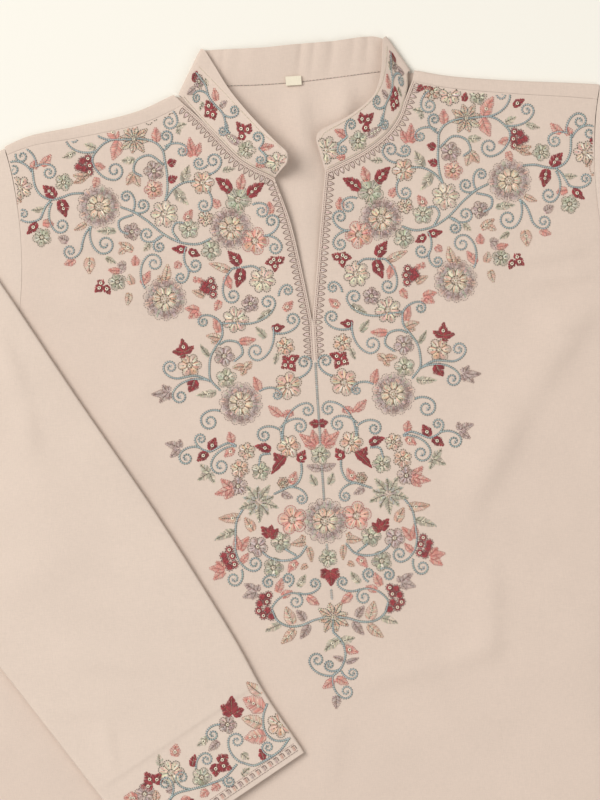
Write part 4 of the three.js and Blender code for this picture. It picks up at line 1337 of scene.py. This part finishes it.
    def petals(self, centre, inner, outer, count, turn, tints, rim, notch=0.32, fine=0.8):
        """Ring of satin petals in mixed threads, with a dotted rim."""
        half = pi / count
        per = max(int(outer * 0.8 * 2 * half / fine), 3)
        wide = outer * 2 * half * 0.86 / per
        for k in range(count):
            middle = turn + k * 2 * half
            s = np.linspace(-0.84, 0.84, per)
            ragged = self.random.uniform(0.92, 1.0, per)
            reach = outer * (1 - notch * np.abs(s) ** 2.4) * ragged
            start = centre + heading(middle + s * half) * inner
            end = centre + heading(middle + s * half) * reach[:, None]
            self.stitch(start, end, wide, 0.5, self.choice(tints, per), vary=0.16)
            s = np.linspace(-1.0, 1.0, 22)
            reach = outer * 1.02 * (1 - notch * np.abs(s) ** 2.4)
            edge = centre + heading(middle + s * half) * reach[:, None]
            self.dotted(edge, 1.35, 0.7, rim, lift=0.25, share=0.7)

    def knots(self, centre, radius, count, tint, size=0.9):
        angle = np.arange(count) * 2 * pi / count + self.random.uniform(0, 2)
        places = centre + heading(angle) * radius * self.random.uniform(0.75, 1.1, (count, 1))
        way = heading(self.random.uniform(0, pi, count)) * size / 2
        self.stitch(places - way, places + way, size * 0.85, 0.7, tint, lift=0.55)

    def flower(self, x, y, radius, kind, turn):
        centre = np.array([x, y], float)
        names, edges, count = FLOWER_THREADS[kind]
        rim, heart = tones(edges)
        self.petals(centre, radius * 0.2, radius, count, turn, tones(names), rim)
        angle = turn + np.arange(count) * 2 * pi / count
        # A dark stitch on each petal stands for a small sequin's hole: a thread that also paints
        # the shade in the hole.
        dots = centre + heading(angle) * radius * 0.58
        way = heading(angle) * 0.55
        self.stitch(dots - way, dots + way, 0.75, 0.5, heart, lift=0.4)
        split = heading(angle + pi / count) * radius
        self.stitch(centre + split * 0.3, centre + split * 0.66, 0.6, 0.5, rim, lift=0.3)
        self.knots(centre, radius * 0.32, 7, heart, 0.8)
        self.knots(centre, radius * 0.16, 3, threads().gold, 0.8)
        self.sequin(centre, 1.0)

    def large_flower(self, x, y, radius, turn):
        """Large ruffled flower: two rows of mauve scallops round seven mottled petals."""
        colour = threads()
        centre = np.array([x, y], float)
        lobes, petals = 14, 7
        for shift, low, high, lift in ((0, 0.58, 1.0, 0.0), (0.5, 0.56, 0.80, 0.15)):
            for k in range(lobes):
                middle = turn + (k + shift) * 2 * pi / lobes
                s = np.linspace(-0.86, 0.86, 6)
                angle = middle + s * pi / lobes
                reach = radius * high * (1 - 0.12 * np.abs(s) ** 2.2)
                reach = reach * self.random.uniform(0.95, 1.0, 6)
                tints = FRILL_THREADS[self.random.integers(0, len(FRILL_THREADS))]
                tint = self.choice(tones(tints), 6)
                start = centre + heading(angle) * radius * low
                end = centre + heading(angle) * reach[:, None]
                self.stitch(start, end, radius * 0.058, 0.5, tint, lift=lift)
                s = np.linspace(-1, 1, 16)
                reach = radius * high * (1.02 - 0.14 * np.abs(s) ** 2.2)
                edge = centre + heading(middle + s * pi / lobes) * reach[:, None]
                self.dotted(edge, 1.4, 0.5, colour.mauve_dark, lift=lift + 0.2, share=0.66)
        tints, rim = tones("cream blush cream peach cream"), colour.olive
        self.petals(centre, radius * 0.18, radius * 0.64, petals, turn, tints, rim, 0.42, 0.62)
        angle = turn + np.arange(petals) * 2 * pi / petals
        self.sequin(centre + heading(angle) * radius * 0.44, 0.85)
        split = angle + pi / petals
        start, end = (centre + heading(split) * radius * reach for reach in (0.2, 0.5))
        self.stitch(start, end, 0.7, 0.6, colour.gold_dark, lift=0.3)
        self.knots(centre, radius * 0.24, 10, colour.olive, 0.9)
        self.knots(centre, radius * 0.13, 6, colour.gold, 0.9)
        self.sequin(centre, 1.0)

    def star_flower(self, x, y, radius):
        """Eight separate petals with teal ticks between them."""
        colour, turn = threads(), 0.2
        centre = np.array([x, y], float)
        for k in range(8):
            way = heading(turn + k * pi / 4)
            reach = radius * (1.0 if k % 2 else 0.86)
            self.leaf(centre + way * radius * 0.22, centre + way * reach, radius * 0.40, "blush")
        tick = heading(turn + (np.arange(8) + 0.5) * pi / 4)
        start, end = (centre + tick * radius * reach for reach in (0.2, 0.56))
        self.stitch(start, end, 0.8, 0.6, colour.teal, lift=0.2)
        self.knots(centre, radius * 0.2, 9, colour.olive, 0.9)
        self.knots(centre, radius * 0.1, 4, colour.gold, 0.9)
        self.sequin(centre, 1.1)

    def feather_flower(self, x, y, radius):
        """Lacy flower of narrow sage leaves."""
        colour = threads()
        centre = np.array([x, y], float)
        for k in range(10):
            way, reach = heading(0.35 + k * pi / 5), radius * (1.0 if k % 2 else 0.8)
            base, kind = centre + way * radius * 0.16, "sage" if k % 2 else "mist"
            self.leaf(base, centre + way * reach, radius * 0.34, kind)
        way = heading(0.1 + np.arange(4) * pi / 2)
        tip = centre + way * radius * 0.42
        self.stitch(centre + way * 0.5, tip, 0.9, 0.7, colour.lilac, lift=0.6)
        self.knots(centre, radius * 0.14, 5, colour.gold, 0.8)

    def motifs(self, drawing, layer):
        """One layer of a drawing: its stems, its leaves or its flowers."""
        if layer == "stems":
            for row in drawing["scrolls"]:
                self.scroll(*row)
            for row in drawing["stems"]:
                self.stem(row)
        if layer == "leaves":
            for kind, rows in drawing["leaves"].items():
                for row in rows:
                    self.leaf(row[:2], row[2:4], row[4], kind, *row[5:])
        if layer == "flowers":
            for kind, rows in drawing["flowers"].items():
                for k, (x, y, radius) in enumerate(rows):
                    if kind == "large":
                        self.large_flower(x, y, radius, 0.2 * k)
                    elif kind == "star":
                        self.star_flower(x, y, radius)
                    elif kind == "feather":
                        self.feather_flower(x, y, radius)
                    else:
                        self.flower(x, y, radius, kind, 0.7 * k)
            for places in drawing["berries"]:
                self.berries(places)

    def berries(self, places):
        tints, rim = tones("maroon maroon maroon_light"), threads().maroon_dark
        for k, place in enumerate(places):
            place = np.array(place, float)
            self.petals(place, 0.0, BERRY_RADIUS, 5, 0.4 * k, tints, rim, 0.06)
            if k % 2 == 0:
                self.sequin(place, 1.2)


# Threads of each leaf: the mixed tints, vein and rim, which may be missing, then its fullness,
# extra width and the waves of its edge
LEAF_THREADS = {
    "maroon": ("maroon maroon maroon_light", "peach_dark", "", 1.0, 1.3, 0.09),
    "salmon": ("salmon blush salmon", "rose", "rose", 0.72, 1.15, 0.08),
    "peach": ("peach cream blush", "olive", "peach_dark", 0.6, 1.1, 0.05),
    "sage": ("sage cream sage stone", "olive", "", 0.66, 1.2, 0.1),
    "mauve": ("mauve lilac lilac", "mauve_dark", "mauve", 0.75, 1.2, 0.05),
    "mist": ("pale sage sage stone", "olive", "", 0.64, 1.1, 0.1),
    "blush": ("blush cream cream peach", "olive", "olive", 0.7, 1.0, 0.05),
}
# Threads of each flower: the mixed tints, then rim and heart, and the number of petals
FLOWER_THREADS = {
    "sage": ("sage cream sage stone", "sage_dark olive", 5),
    "mauve": ("lilac mauve lilac", "mauve_dark gold_dark", 5),
    "cream": ("cream blush cream peach blush", "gold_dark olive", 6),
    "peach": ("cream blush cream", "olive teal_dark", 7),
    "rose": ("salmon blush cream blush peach", "rose olive", 5),
}
# Threads of the large flowers' frills
FRILL_THREADS = ("lilac lilac mauve", "mauve lilac", "lilac sage lilac", "mauve lilac blush")
BERRY_RADIUS = 2.9
# Distance between the stitches of an open leaf and of a full one
LEAF_PITCH = (0.9, 0.72)
ROPE_PITCH = 1.5
LADDER_WIDTH = 1.5
# Scrolls in degrees: where the coil starts, how its stem bends and how far the coil turns
SCROLL_START = 55
SCROLL_BEND = 38
SCROLL_TURN = 470


# ---------------------------------------------------------------- materials


class Shade:
    """A value in a material, so that shader maths reads as arithmetic."""

    def __init__(self, paint, socket):
        self.paint, self.socket = paint, socket

    def maths(self, operation, *values):
        return self.paint.node("ShaderNodeMath", {"operation": operation}, dict(enumerate(values)))

    def __add__(self, other):
        return self.maths("ADD", self, other)

    def __mul__(self, other):
        return self.maths("MULTIPLY", self, other)

    def __sub__(self, other):
        return self.maths("SUBTRACT", self, other)

    def __rsub__(self, other):
        return self.maths("SUBTRACT", other, self)

    __radd__, __rmul__ = __add__, __mul__

    def sine(self):
        return self.maths("SINE", self)

    def clamped(self):
        return self.maths("MINIMUM", self.maths("MAXIMUM", self, 0.0), 1.0)


class Paint:
    """A material under construction."""

    def __init__(self, name):
        self.material = bpy.data.materials.new(name)
        self.material.use_nodes = True
        self.tree = self.material.node_tree
        self.tree.nodes.clear()

    def node(self, kind, settings=(), sockets=(), output=0):
        made = self.tree.nodes.new(kind)
        for key, value in dict(settings).items():
            setattr(made, key, value)
        for key, value in dict(sockets).items():
            if isinstance(value, Shade):
                self.tree.links.new(value.socket, made.inputs[key])
            else:
                made.inputs[key].default_value = value
        return Shade(self, made.outputs[output]) if made.outputs else None

    def blend(self, share, first, second):
        """Colour between two colours."""
        sockets = {0: share, 6: first, 7: second}
        return self.node("ShaderNodeMix", {"data_type": "RGBA"}, sockets, output=2)

    def stretched(self, vector, scale):
        return self.node("ShaderNodeVectorMath", {"operation": "MULTIPLY"}, {0: vector, 1: scale})

    def noise(self, vector, scale, detail=2.0):
        sockets = {"Vector": vector, "Scale": scale, "Detail": detail}
        return self.node("ShaderNodeTexNoise", (), sockets)

    def stitched(self):
        """Place on the piece, and the colour of the stitch there."""
        place = self.node("ShaderNodeTexCoord", output=3)
        return place, self.node("ShaderNodeVertexColor", {"layer_name": "thread"})

    def finished(self, surface, height, strength, distance):
        bump = {"Height": height, "Strength": strength, "Distance": distance}
        surface["Normal"] = self.node("ShaderNodeBump", (), bump)
        shader = self.node("ShaderNodeBsdfPrincipled", (), surface)
        self.node("ShaderNodeOutputMaterial", (), {"Surface": shader})
        return self.material


def rgb(red, green, blue):
    """A screen colour as scene light, with its alpha."""
    return tuple(
        ((c / 255 + 0.055) / 1.055) ** 2.4 if c > 10 else c / 255 / 12.92
        for c in (red, green, blue)
    ) + (1.0,)


WEAVE_PITCH = 0.00062


def cloth_material(name, tint):
    """Plain woven cotton and linen: threads both ways, slubs and a little mottling."""
    paint = Paint(name)
    place = paint.node("ShaderNodeTexCoord", output=3)
    slub_along, slub_across = (
        paint.noise(paint.stretched(place, scale), 1.0)
        for scale in ((260, 1900, 400), (1900, 260, 400))
    )
    mottle = paint.noise(place, 22.0, 3.0)
    warp, weft = (
        paint.node("ShaderNodeSeparateXYZ", (), {0: place}, output=axis) * (2 * pi / WEAVE_PITCH)
        for axis in (0, 1)
    )
    weave = warp.sine() * weft.sine()
    slubs = slub_along * 0.5 + slub_across * 0.5
    light = tuple(min(c * 1.06, 1) for c in tint[:3]) + (1.0,)
    dark = tuple(c * 0.84 for c in tint[:3]) + (1.0,)
    share = (slubs - 0.5) * 1.1 + (mottle - 0.5) * 0.4 + weave * 0.05 + 0.55
    surface = {
        "Base Color": paint.blend(share.clamped(), dark, light),
        "Roughness": 0.82 + (mottle - 0.5) * 0.1,
        "Sheen Weight": 0.25,
        "Sheen Roughness": 0.5,
        "Specular IOR Level": 0.2,
    }
    return paint.finished(surface, slubs * 0.8 + weave * 0.25, 0.45, 0.0004)


FIBRE_SHADE = (0.30, 0.27, 0.25, 1.0)
SPECK_SHADE = (0.62, 0.50, 0.34, 1.0)


def thread_material():
    """Twisted embroidery thread: its own colour for each stitch, with a soft silk sheen."""
    if "silk_thread" in bpy.data.materials:
        return bpy.data.materials["silk_thread"]
    paint = Paint("silk_thread")
    place, tint = paint.stitched()
    fibre, worn = paint.noise(place, 2600.0), paint.noise(place, 260.0)
    surface = {
        "Base Color": paint.blend(((fibre - 0.5) * 0.9 + 0.2).clamped(), tint, FIBRE_SHADE),
        "Roughness": 0.52 + (worn - 0.5) * 0.2,
        "Sheen Weight": 0.08,
        "Specular IOR Level": 0.3,
    }
    return paint.finished(surface, fibre, 0.35, 0.0002)


def sequin_material():
    """Small pearly plastic sequins."""
    if "pearl_sequin" in bpy.data.materials:
        return bpy.data.materials["pearl_sequin"]
    paint = Paint("pearl_sequin")
    place, tint = paint.stitched()
    speck = paint.noise(place, 1400.0)
    surface = {
        "Base Color": paint.blend(((speck - 0.5) * 1.5).clamped(), tint, SPECK_SHADE),
        "Roughness": 0.28 + speck * 0.12,
        "Metallic": 0.25,
        "Coat Weight": 0.4,
    }
    return paint.finished(surface, speck, 0.1, 0.0001)


# ---------------------------------------------------------------- settings


class KurtaSizes(PropertyGroup):
    view_height: FloatProperty(
        name="View height",
        description="Stretch of the garment that the camera frames from top to bottom",
        default=0.560,
        min=0.1,
        unit="LENGTH",
        subtype="DISTANCE",
    )


def colour_of(name, use, tint):
    return FloatVectorProperty(
        name=name, description=use, default=rgb(*tint), size=4, subtype="COLOR"
    )


class KurtaColours(PropertyGroup):
    cloth: colour_of("Cloth", "Body panels and collar", (222, 203, 189))
    sleeve: colour_of("Sleeves", "Sleeve cloth", (225, 207, 193))
    tab: colour_of("Size tab", "Small blank tab at the back of the neck", (240, 230, 208))
    floor: colour_of("Floor", "Plain surface that the garment lies on", (240, 237, 228))


class KurtaThreads(PropertyGroup):
    teal: colour_of("Teal", "Cross stitches of the scrolls", (102, 122, 123))
    teal_dark: colour_of("Dark teal", "Darker stretches of the scrolls", (72, 96, 100))
    teal_light: colour_of("Light teal", "Core of the scrolls", (176, 196, 198))
    pale: colour_of("Pale grey", "Highlights of scrolls and sage flowers", (206, 212, 208))
    maroon: colour_of("Maroon", "Dark red leaves and berries", (150, 12, 34))
    maroon_light: colour_of("Light maroon", "Lit stitches of dark red leaves", (178, 28, 48))
    maroon_dark: colour_of("Dark maroon", "Rims of berries", (110, 24, 38))
    rose: colour_of("Rose", "Veins and rims of pink motifs", (206, 106, 104))
    salmon: colour_of("Salmon", "Pink leaves", (238, 162, 148))
    blush: colour_of("Blush", "Lit side of pink leaves", (244, 200, 182))
    peach: colour_of("Peach", "Peach petals and leaves", (234, 182, 152))
    peach_dark: colour_of("Dark peach", "Rims of peach petals", (184, 134, 104))
    cream: colour_of("Cream", "Cream petals", (244, 232, 208))
    gold: colour_of("Gold", "Flower hearts", (184, 156, 96))
    gold_dark: colour_of("Dark gold", "Rims of cream petals", (120, 98, 68))
    # Olive knots in the sequins' holes are the holding thread, made dark to paint the shade in each
    # hole.
    olive: colour_of("Olive", "Knots of flower hearts and sequins", (88, 86, 62))
    sage: colour_of("Sage", "Sage leaves and petals", (204, 202, 182))
    stone: colour_of("Stone", "Shaded stitches of sage petals", (178, 172, 150))
    sage_dark: colour_of("Dark sage", "Rims and veins of sage motifs", (138, 142, 116))
    mauve: colour_of("Mauve", "Large flowers", (184, 154, 146))
    mauve_dark: colour_of("Dark mauve", "Rims of large flowers and borders", (136, 104, 96))
    lilac: colour_of("Lilac", "Light frills of large flowers", (216, 196, 190))
    sequin: colour_of("Sequin", "Small round sequins", (240, 230, 208))


def sizes():
    return bpy.context.scene.kurta_sizes


def colours():
    return bpy.context.scene.kurta_colours


def threads():
    return bpy.context.scene.kurta_threads


# ---------------------------------------------------------------- operators


VIEW_CENTRE = (-12.0, -54.0)
VIEW_TURN = -3.6
VIEW_LIFT = 0.003
LENS = 85
SENSOR = 24
FLOOR_REACH = 6.0
FLOOR_DROP = 0.0004
# Lamps in metres from the middle of the view: place, width, power and colour
LIGHTS = [
    ("key_light", (-2.2, 1.13, 3.1), 2.4, 123.0, (1.0, 0.985, 0.955)),
    ("fill_light", (1.5, -1.2, 1.9), 1.8, 13.0, (1.0, 0.97, 0.93)),
]
ROOM = (1.0, 0.985, 0.965, 1.0), 0.425


class KURTA_OT_stage(Operator):
    """Add the floor, the soft lights and the camera"""

    bl_idname = "kurta.stage"
    bl_label = "Stage"

    def execute(self, context):
        scene = context.scene
        paint = Paint("floor_paper")
        grain = paint.noise(paint.node("ShaderNodeTexCoord", output=3), 900.0)
        surface = {"Base Color": tuple(colours().floor), "Roughness": 0.9}
        mesh = bpy.data.meshes.new("floor")
        corners = [(-1, -1), (1, -1), (1, 1), (-1, 1)]
        corners = [(x * FLOOR_REACH, y * FLOOR_REACH, -FLOOR_DROP) for x, y in corners]
        mesh.from_pydata(corners, [], [(0, 1, 2, 3)])
        mesh.materials.append(paint.finished(surface, grain, 0.05, 0.0002))
        floor = bpy.data.objects.new("floor", mesh)
        scene.collection.objects.link(floor)

        target = Vector(placed([*VIEW_CENTRE, 0.0]))
        for name, offset, width, energy, tint in LIGHTS:
            light = bpy.data.lights.new(name, "AREA")
            light.size, light.energy, light.color = width, energy, tint
            lamp = bpy.data.objects.new(name, light)
            lamp.location = target + Vector(offset)
            lamp.rotation_euler = (target - lamp.location).to_track_quat("-Z", "Y").to_euler()
            scene.collection.objects.link(lamp)

        world = bpy.data.worlds.new("soft_room")
        world.use_nodes = True
        background = world.node_tree.nodes["Background"]
        background.inputs["Color"].default_value, background.inputs["Strength"].default_value = ROOM
        scene.world = world
        scene.view_settings.view_transform = "Standard"

        data = bpy.data.cameras.new("camera")
        data.lens, data.sensor_fit, data.sensor_height = LENS, "VERTICAL", SENSOR
        data.clip_end = 50
        camera = bpy.data.objects.new("camera", data)
        distance = sizes().view_height * LENS / SENSOR
        camera.location = target + Vector((0, 0, distance + VIEW_LIFT))
        camera.rotation_euler = (0, 0, radians(VIEW_TURN))
        scene.collection.objects.link(camera)
        scene.camera = camera
        return {"FINISHED"}


class KURTA_OT_panels(Operator):
    """Build the front and the back"""

    bl_idname = "kurta.panels"
    bl_label = "Front and back"

    def execute(self, context):
        material = cloth_material("body_cotton", tuple(colours().cloth))
        add_cloth("back_panel", "back", back_panel(), material, (0.59, 1.12))
        add_cloth("front_panel", "front", front_panel(), material, (0.59, 1.08))
        return {"FINISHED"}


class KURTA_OT_sleeves(Operator):
    """Build the two sleeves, one turned over across the front"""

    bl_idname = "kurta.sleeves"
    bl_label = "Sleeves"

    def execute(self, context):
        material, cut = cloth_material("sleeve_cotton", tuple(colours().sleeve)), (0.41, 0.56)
        add_cloth("sleeve_folded", "sleeve_left", left_sleeve(), material, cut)
        add_cloth("sleeve_laid", "sleeve_right", right_sleeve(), material, cut)
        return {"FINISHED"}


class KURTA_OT_collar(Operator):
    """Build the collar band"""

    bl_idname = "kurta.collar"
    bl_label = "Collar band"

    def execute(self, context):
        material = cloth_material("collar_cotton", tuple(colours().cloth))
        add_cloth("collar_band", "collar", collar_band(), material, (0.40, 0.030))
        return {"FINISHED"}


class KURTA_OT_tab(Operator):
    """Give the size tab its woven tape"""

    bl_idname = "kurta.tab"
    bl_label = "Size tab"

    def execute(self, context):
        tab, material = frame["nodes"]["size_tab"], cloth_material("tab_tape", tuple(colours().tab))
        if not tab.material_slots:
            tab.data.materials.append(material)
        for place in tab.material_slots:
            place.material = material
        return {"FINISHED"}


LAYERS = ("stems", "leaves", "flowers")
HEM_DEPTH = 24


class KURTA_OT_yoke(Operator):
    """Embroider the front round the neck, its mirrored halves and its centre"""

    bl_idname = "kurta.yoke"
    bl_label = "Yoke embroidery"

    def execute(self, context):
        front = bpy.data.objects["front_panel"]
        covers = [bpy.data.objects[n] for n in ("collar_band", "back_panel", "sleeve_folded")]
        ground = seen_from_above(front, covers, (-232, -345), (232, 168), 1.25)
        for seed, layer in enumerate(LAYERS, 11):
            work = Needlework(seed)
            work.motifs(YOKE, layer)
            work.mirror()
            work.motifs(CENTRE, layer)
            if layer == "stems":
                for row in (*LADDERS, *LADDER_ENDS):
                    work.ladder(row)
            work.lay("yoke_" + layer, ground)

        fine_ground = seen_from_above(front, covers, (-100, -40), (100, 178), 0.7)
        work = Needlework(14)
        for side, band in (("right", BAND_RIGHT[::-1]), ("left", BAND_LEFT)):
            sign = SIDES[side]["sign"]
            slit = [(sign * x, y) for x, y, _ in SIDES[side]["slit"]]
            neck = [neckline_point(row)[:2] for row in band[:-1]]
            neck.append(turn_edge(SIDES[side], np.array([0.0]), SEAM_GAP)[0][:2])
            foot = np.array([(0, -27), (0, -9), slit[0]], float)
            path = [foot, Curve(slit).at(np.linspace(0, 1, 60))[1:-1, :2]]
            path.append(Curve(neck).at(np.linspace(0, 1, 80))[:, :2])
            work.border(np.vstack(path), sign)
        work.lay("neck_border", fine_ground)
        return {"FINISHED"}


class KURTA_OT_collar_motifs(Operator):
    """Embroider both fronts of the collar band"""

    bl_idname = "kurta.collar_motifs"
    bl_label = "Collar embroidery"

    def execute(self, context):
        for name, left in (("left", True), ("right", False)):
            work = Needlework(21 + left)
            for layer in LAYERS:
                work.motifs(COLLAR, layer)
            edge = [(2.2, 4), (1.9, 16), (3.2, 21.5), (7, 24), (14, 24.6), (92, 24.6)]
            for line in (edge, [(2, 1.2), (92, 1.2)]):
                work.dotted(line, 1.6, 0.5, threads().cream, share=0.9)
            work.lay(f"collar_{name}_threads", band_ground(left))
        return {"FINISHED"}


class KURTA_OT_cuff_motifs(Operator):
    """Embroider the end of each sleeve"""

    bl_idname = "kurta.cuff_motifs"
    bl_label = "Cuff embroidery"

    def execute(self, context):
        colour = threads()
        slope = radians(RIGHT_SLOPE)
        right_along = np.array([cos(slope), -sin(slope)])
        right_corner = armhole_line(SIDES["right"])(0.0)[:2] + right_along * RIGHT_TOP_LENGTH
        left_corner = np.array(LEFT_TOP_EDGE[-1], float)
        left_hem = unit(np.array(LEFT_UNDER_EDGE[-1], float) - left_corner)
        for name, *plane in (
            ("sleeve_folded", left_corner, left_hem, -square_to(left_hem)),
            ("sleeve_laid", right_corner, np.array([-sin(slope), -cos(slope)]), -right_along),
        ):
            ground = seen_from_above(bpy.data.objects[name], [], (0, 0), CUFF_REACH, 1.0, *plane)
            work = Needlework(31)
            for layer in LAYERS:
                work.motifs(CUFF, layer)
            reach = CUFF_REACH[0] - 2
            work.dotted([(2, 9.2), (reach, 9.2)], 1.5, 0.6, colour.mauve, share=0.8)
            work.dotted([(2, 3.6), (reach, 3.6)], 2.2, 0.4, colour.mauve_dark, share=0.98)
            for k, a in enumerate(np.arange(4, reach, CUFF_BLOCK_PITCH)):
                b = np.linspace(4.8, 7.2, 4)
                start, end = (np.stack([a + shift + 0 * b, b], -1) for shift in (-1, 1.2))
                work.stitch(start, end, 0.7, 0.6, colour.lilac if k % 2 else colour.blush)
                corners = np.array([(a - 1.7, 4.6), (a - 1.7, 8.0), (a + 1.5, 8.0)])
                work.stitch(corners[:-1], corners[1:], 0.75, 0.6, colour.mauve_dark)
            work.lay(name + "_threads", ground)
        return {"FINISHED"}


class KURTA_OT_stitching(Operator):
    """Sew the seam at the back of the neck and the hem of the front: a line of plain stitches along
    each
    """

    bl_idname = "kurta.stitching"
    bl_label = "Hem stitching"

    def execute(self, context):
        tint, brown = (tuple(c * share for c in colours().cloth[:3]) for share in (0.86, 0.62))
        neck = Curve([neckline_point(row)[:2] for row in BAND_BACK])
        a, b = np.meshgrid(np.arange(-90, 91, 1.0), np.arange(160, 181, 1.0), indexing="ij")
        level = Ground((-90, 160), 1.0, np.stack([a, b, 0 * a + 1.15], -1), np.ones(a.shape))
        work = Needlework(40)
        seam = neck.at(np.linspace(0.01, 0.99, 80))[:, :2] + (0, 0.14)
        work.dotted(seam, 1.0, 1.0, colours().cloth[:3], share=1.3, height=0.2)
        work.dotted(seam, 2.4, 0.5, brown, lift=0.2, share=0.6, height=0.2)
        work.lay("neck_stitches", level)

        front = bpy.data.objects["front_panel"]
        ground = seen_from_above(front, [], (-290, -914), (290, -880), 2.0)
        work = Needlework(41)
        line = [(x, HEM_Y + HEM_DEPTH) for x in (-284, 284)]
        work.dotted(line, 3.0, 0.5, tint, share=0.8, height=0.3)
        work.lay("hem_stitches", ground)
        return {"FINISHED"}


class KURTA_PT_pieces(Panel):
    """Pieces of the kurta"""

    bl_label = "Kurta"
    bl_space_type = "VIEW_3D"
    bl_region_type = "UI"
    bl_category = "Kurta"

    def draw(self, context):
        layout = self.layout
        for made in OPERATORS:
            layout.operator(made.bl_idname)
        for group in (sizes(), colours(), threads()):
            for name in group.__annotations__:
                layout.prop(group, name)


OPERATORS = (
    KURTA_OT_stage,
    KURTA_OT_panels,
    KURTA_OT_sleeves,
    KURTA_OT_collar,
    KURTA_OT_tab,
    KURTA_OT_yoke,
    KURTA_OT_collar_motifs,
    KURTA_OT_cuff_motifs,
    KURTA_OT_stitching,
)
GROUPS = {"kurta_sizes": KurtaSizes, "kurta_colours": KurtaColours, "kurta_threads": KurtaThreads}
CLASSES = (*GROUPS.values(), *OPERATORS, KURTA_PT_pieces)


def register():
    for made in CLASSES:
        bpy.utils.register_class(made)
    for name, group in GROUPS.items():
        setattr(bpy.types.Scene, name, PointerProperty(type=group))


def unregister():
    for name in GROUPS:
        delattr(bpy.types.Scene, name)
    for made in reversed(CLASSES):
        bpy.utils.unregister_class(made)


def main():
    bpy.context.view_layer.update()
    register()
    for made in OPERATORS:
        group, name = made.bl_idname.split(".")
        getattr(getattr(bpy.ops, group), name)()
    bpy.context.view_layer.update()


if __name__ == "__main__":
    main()
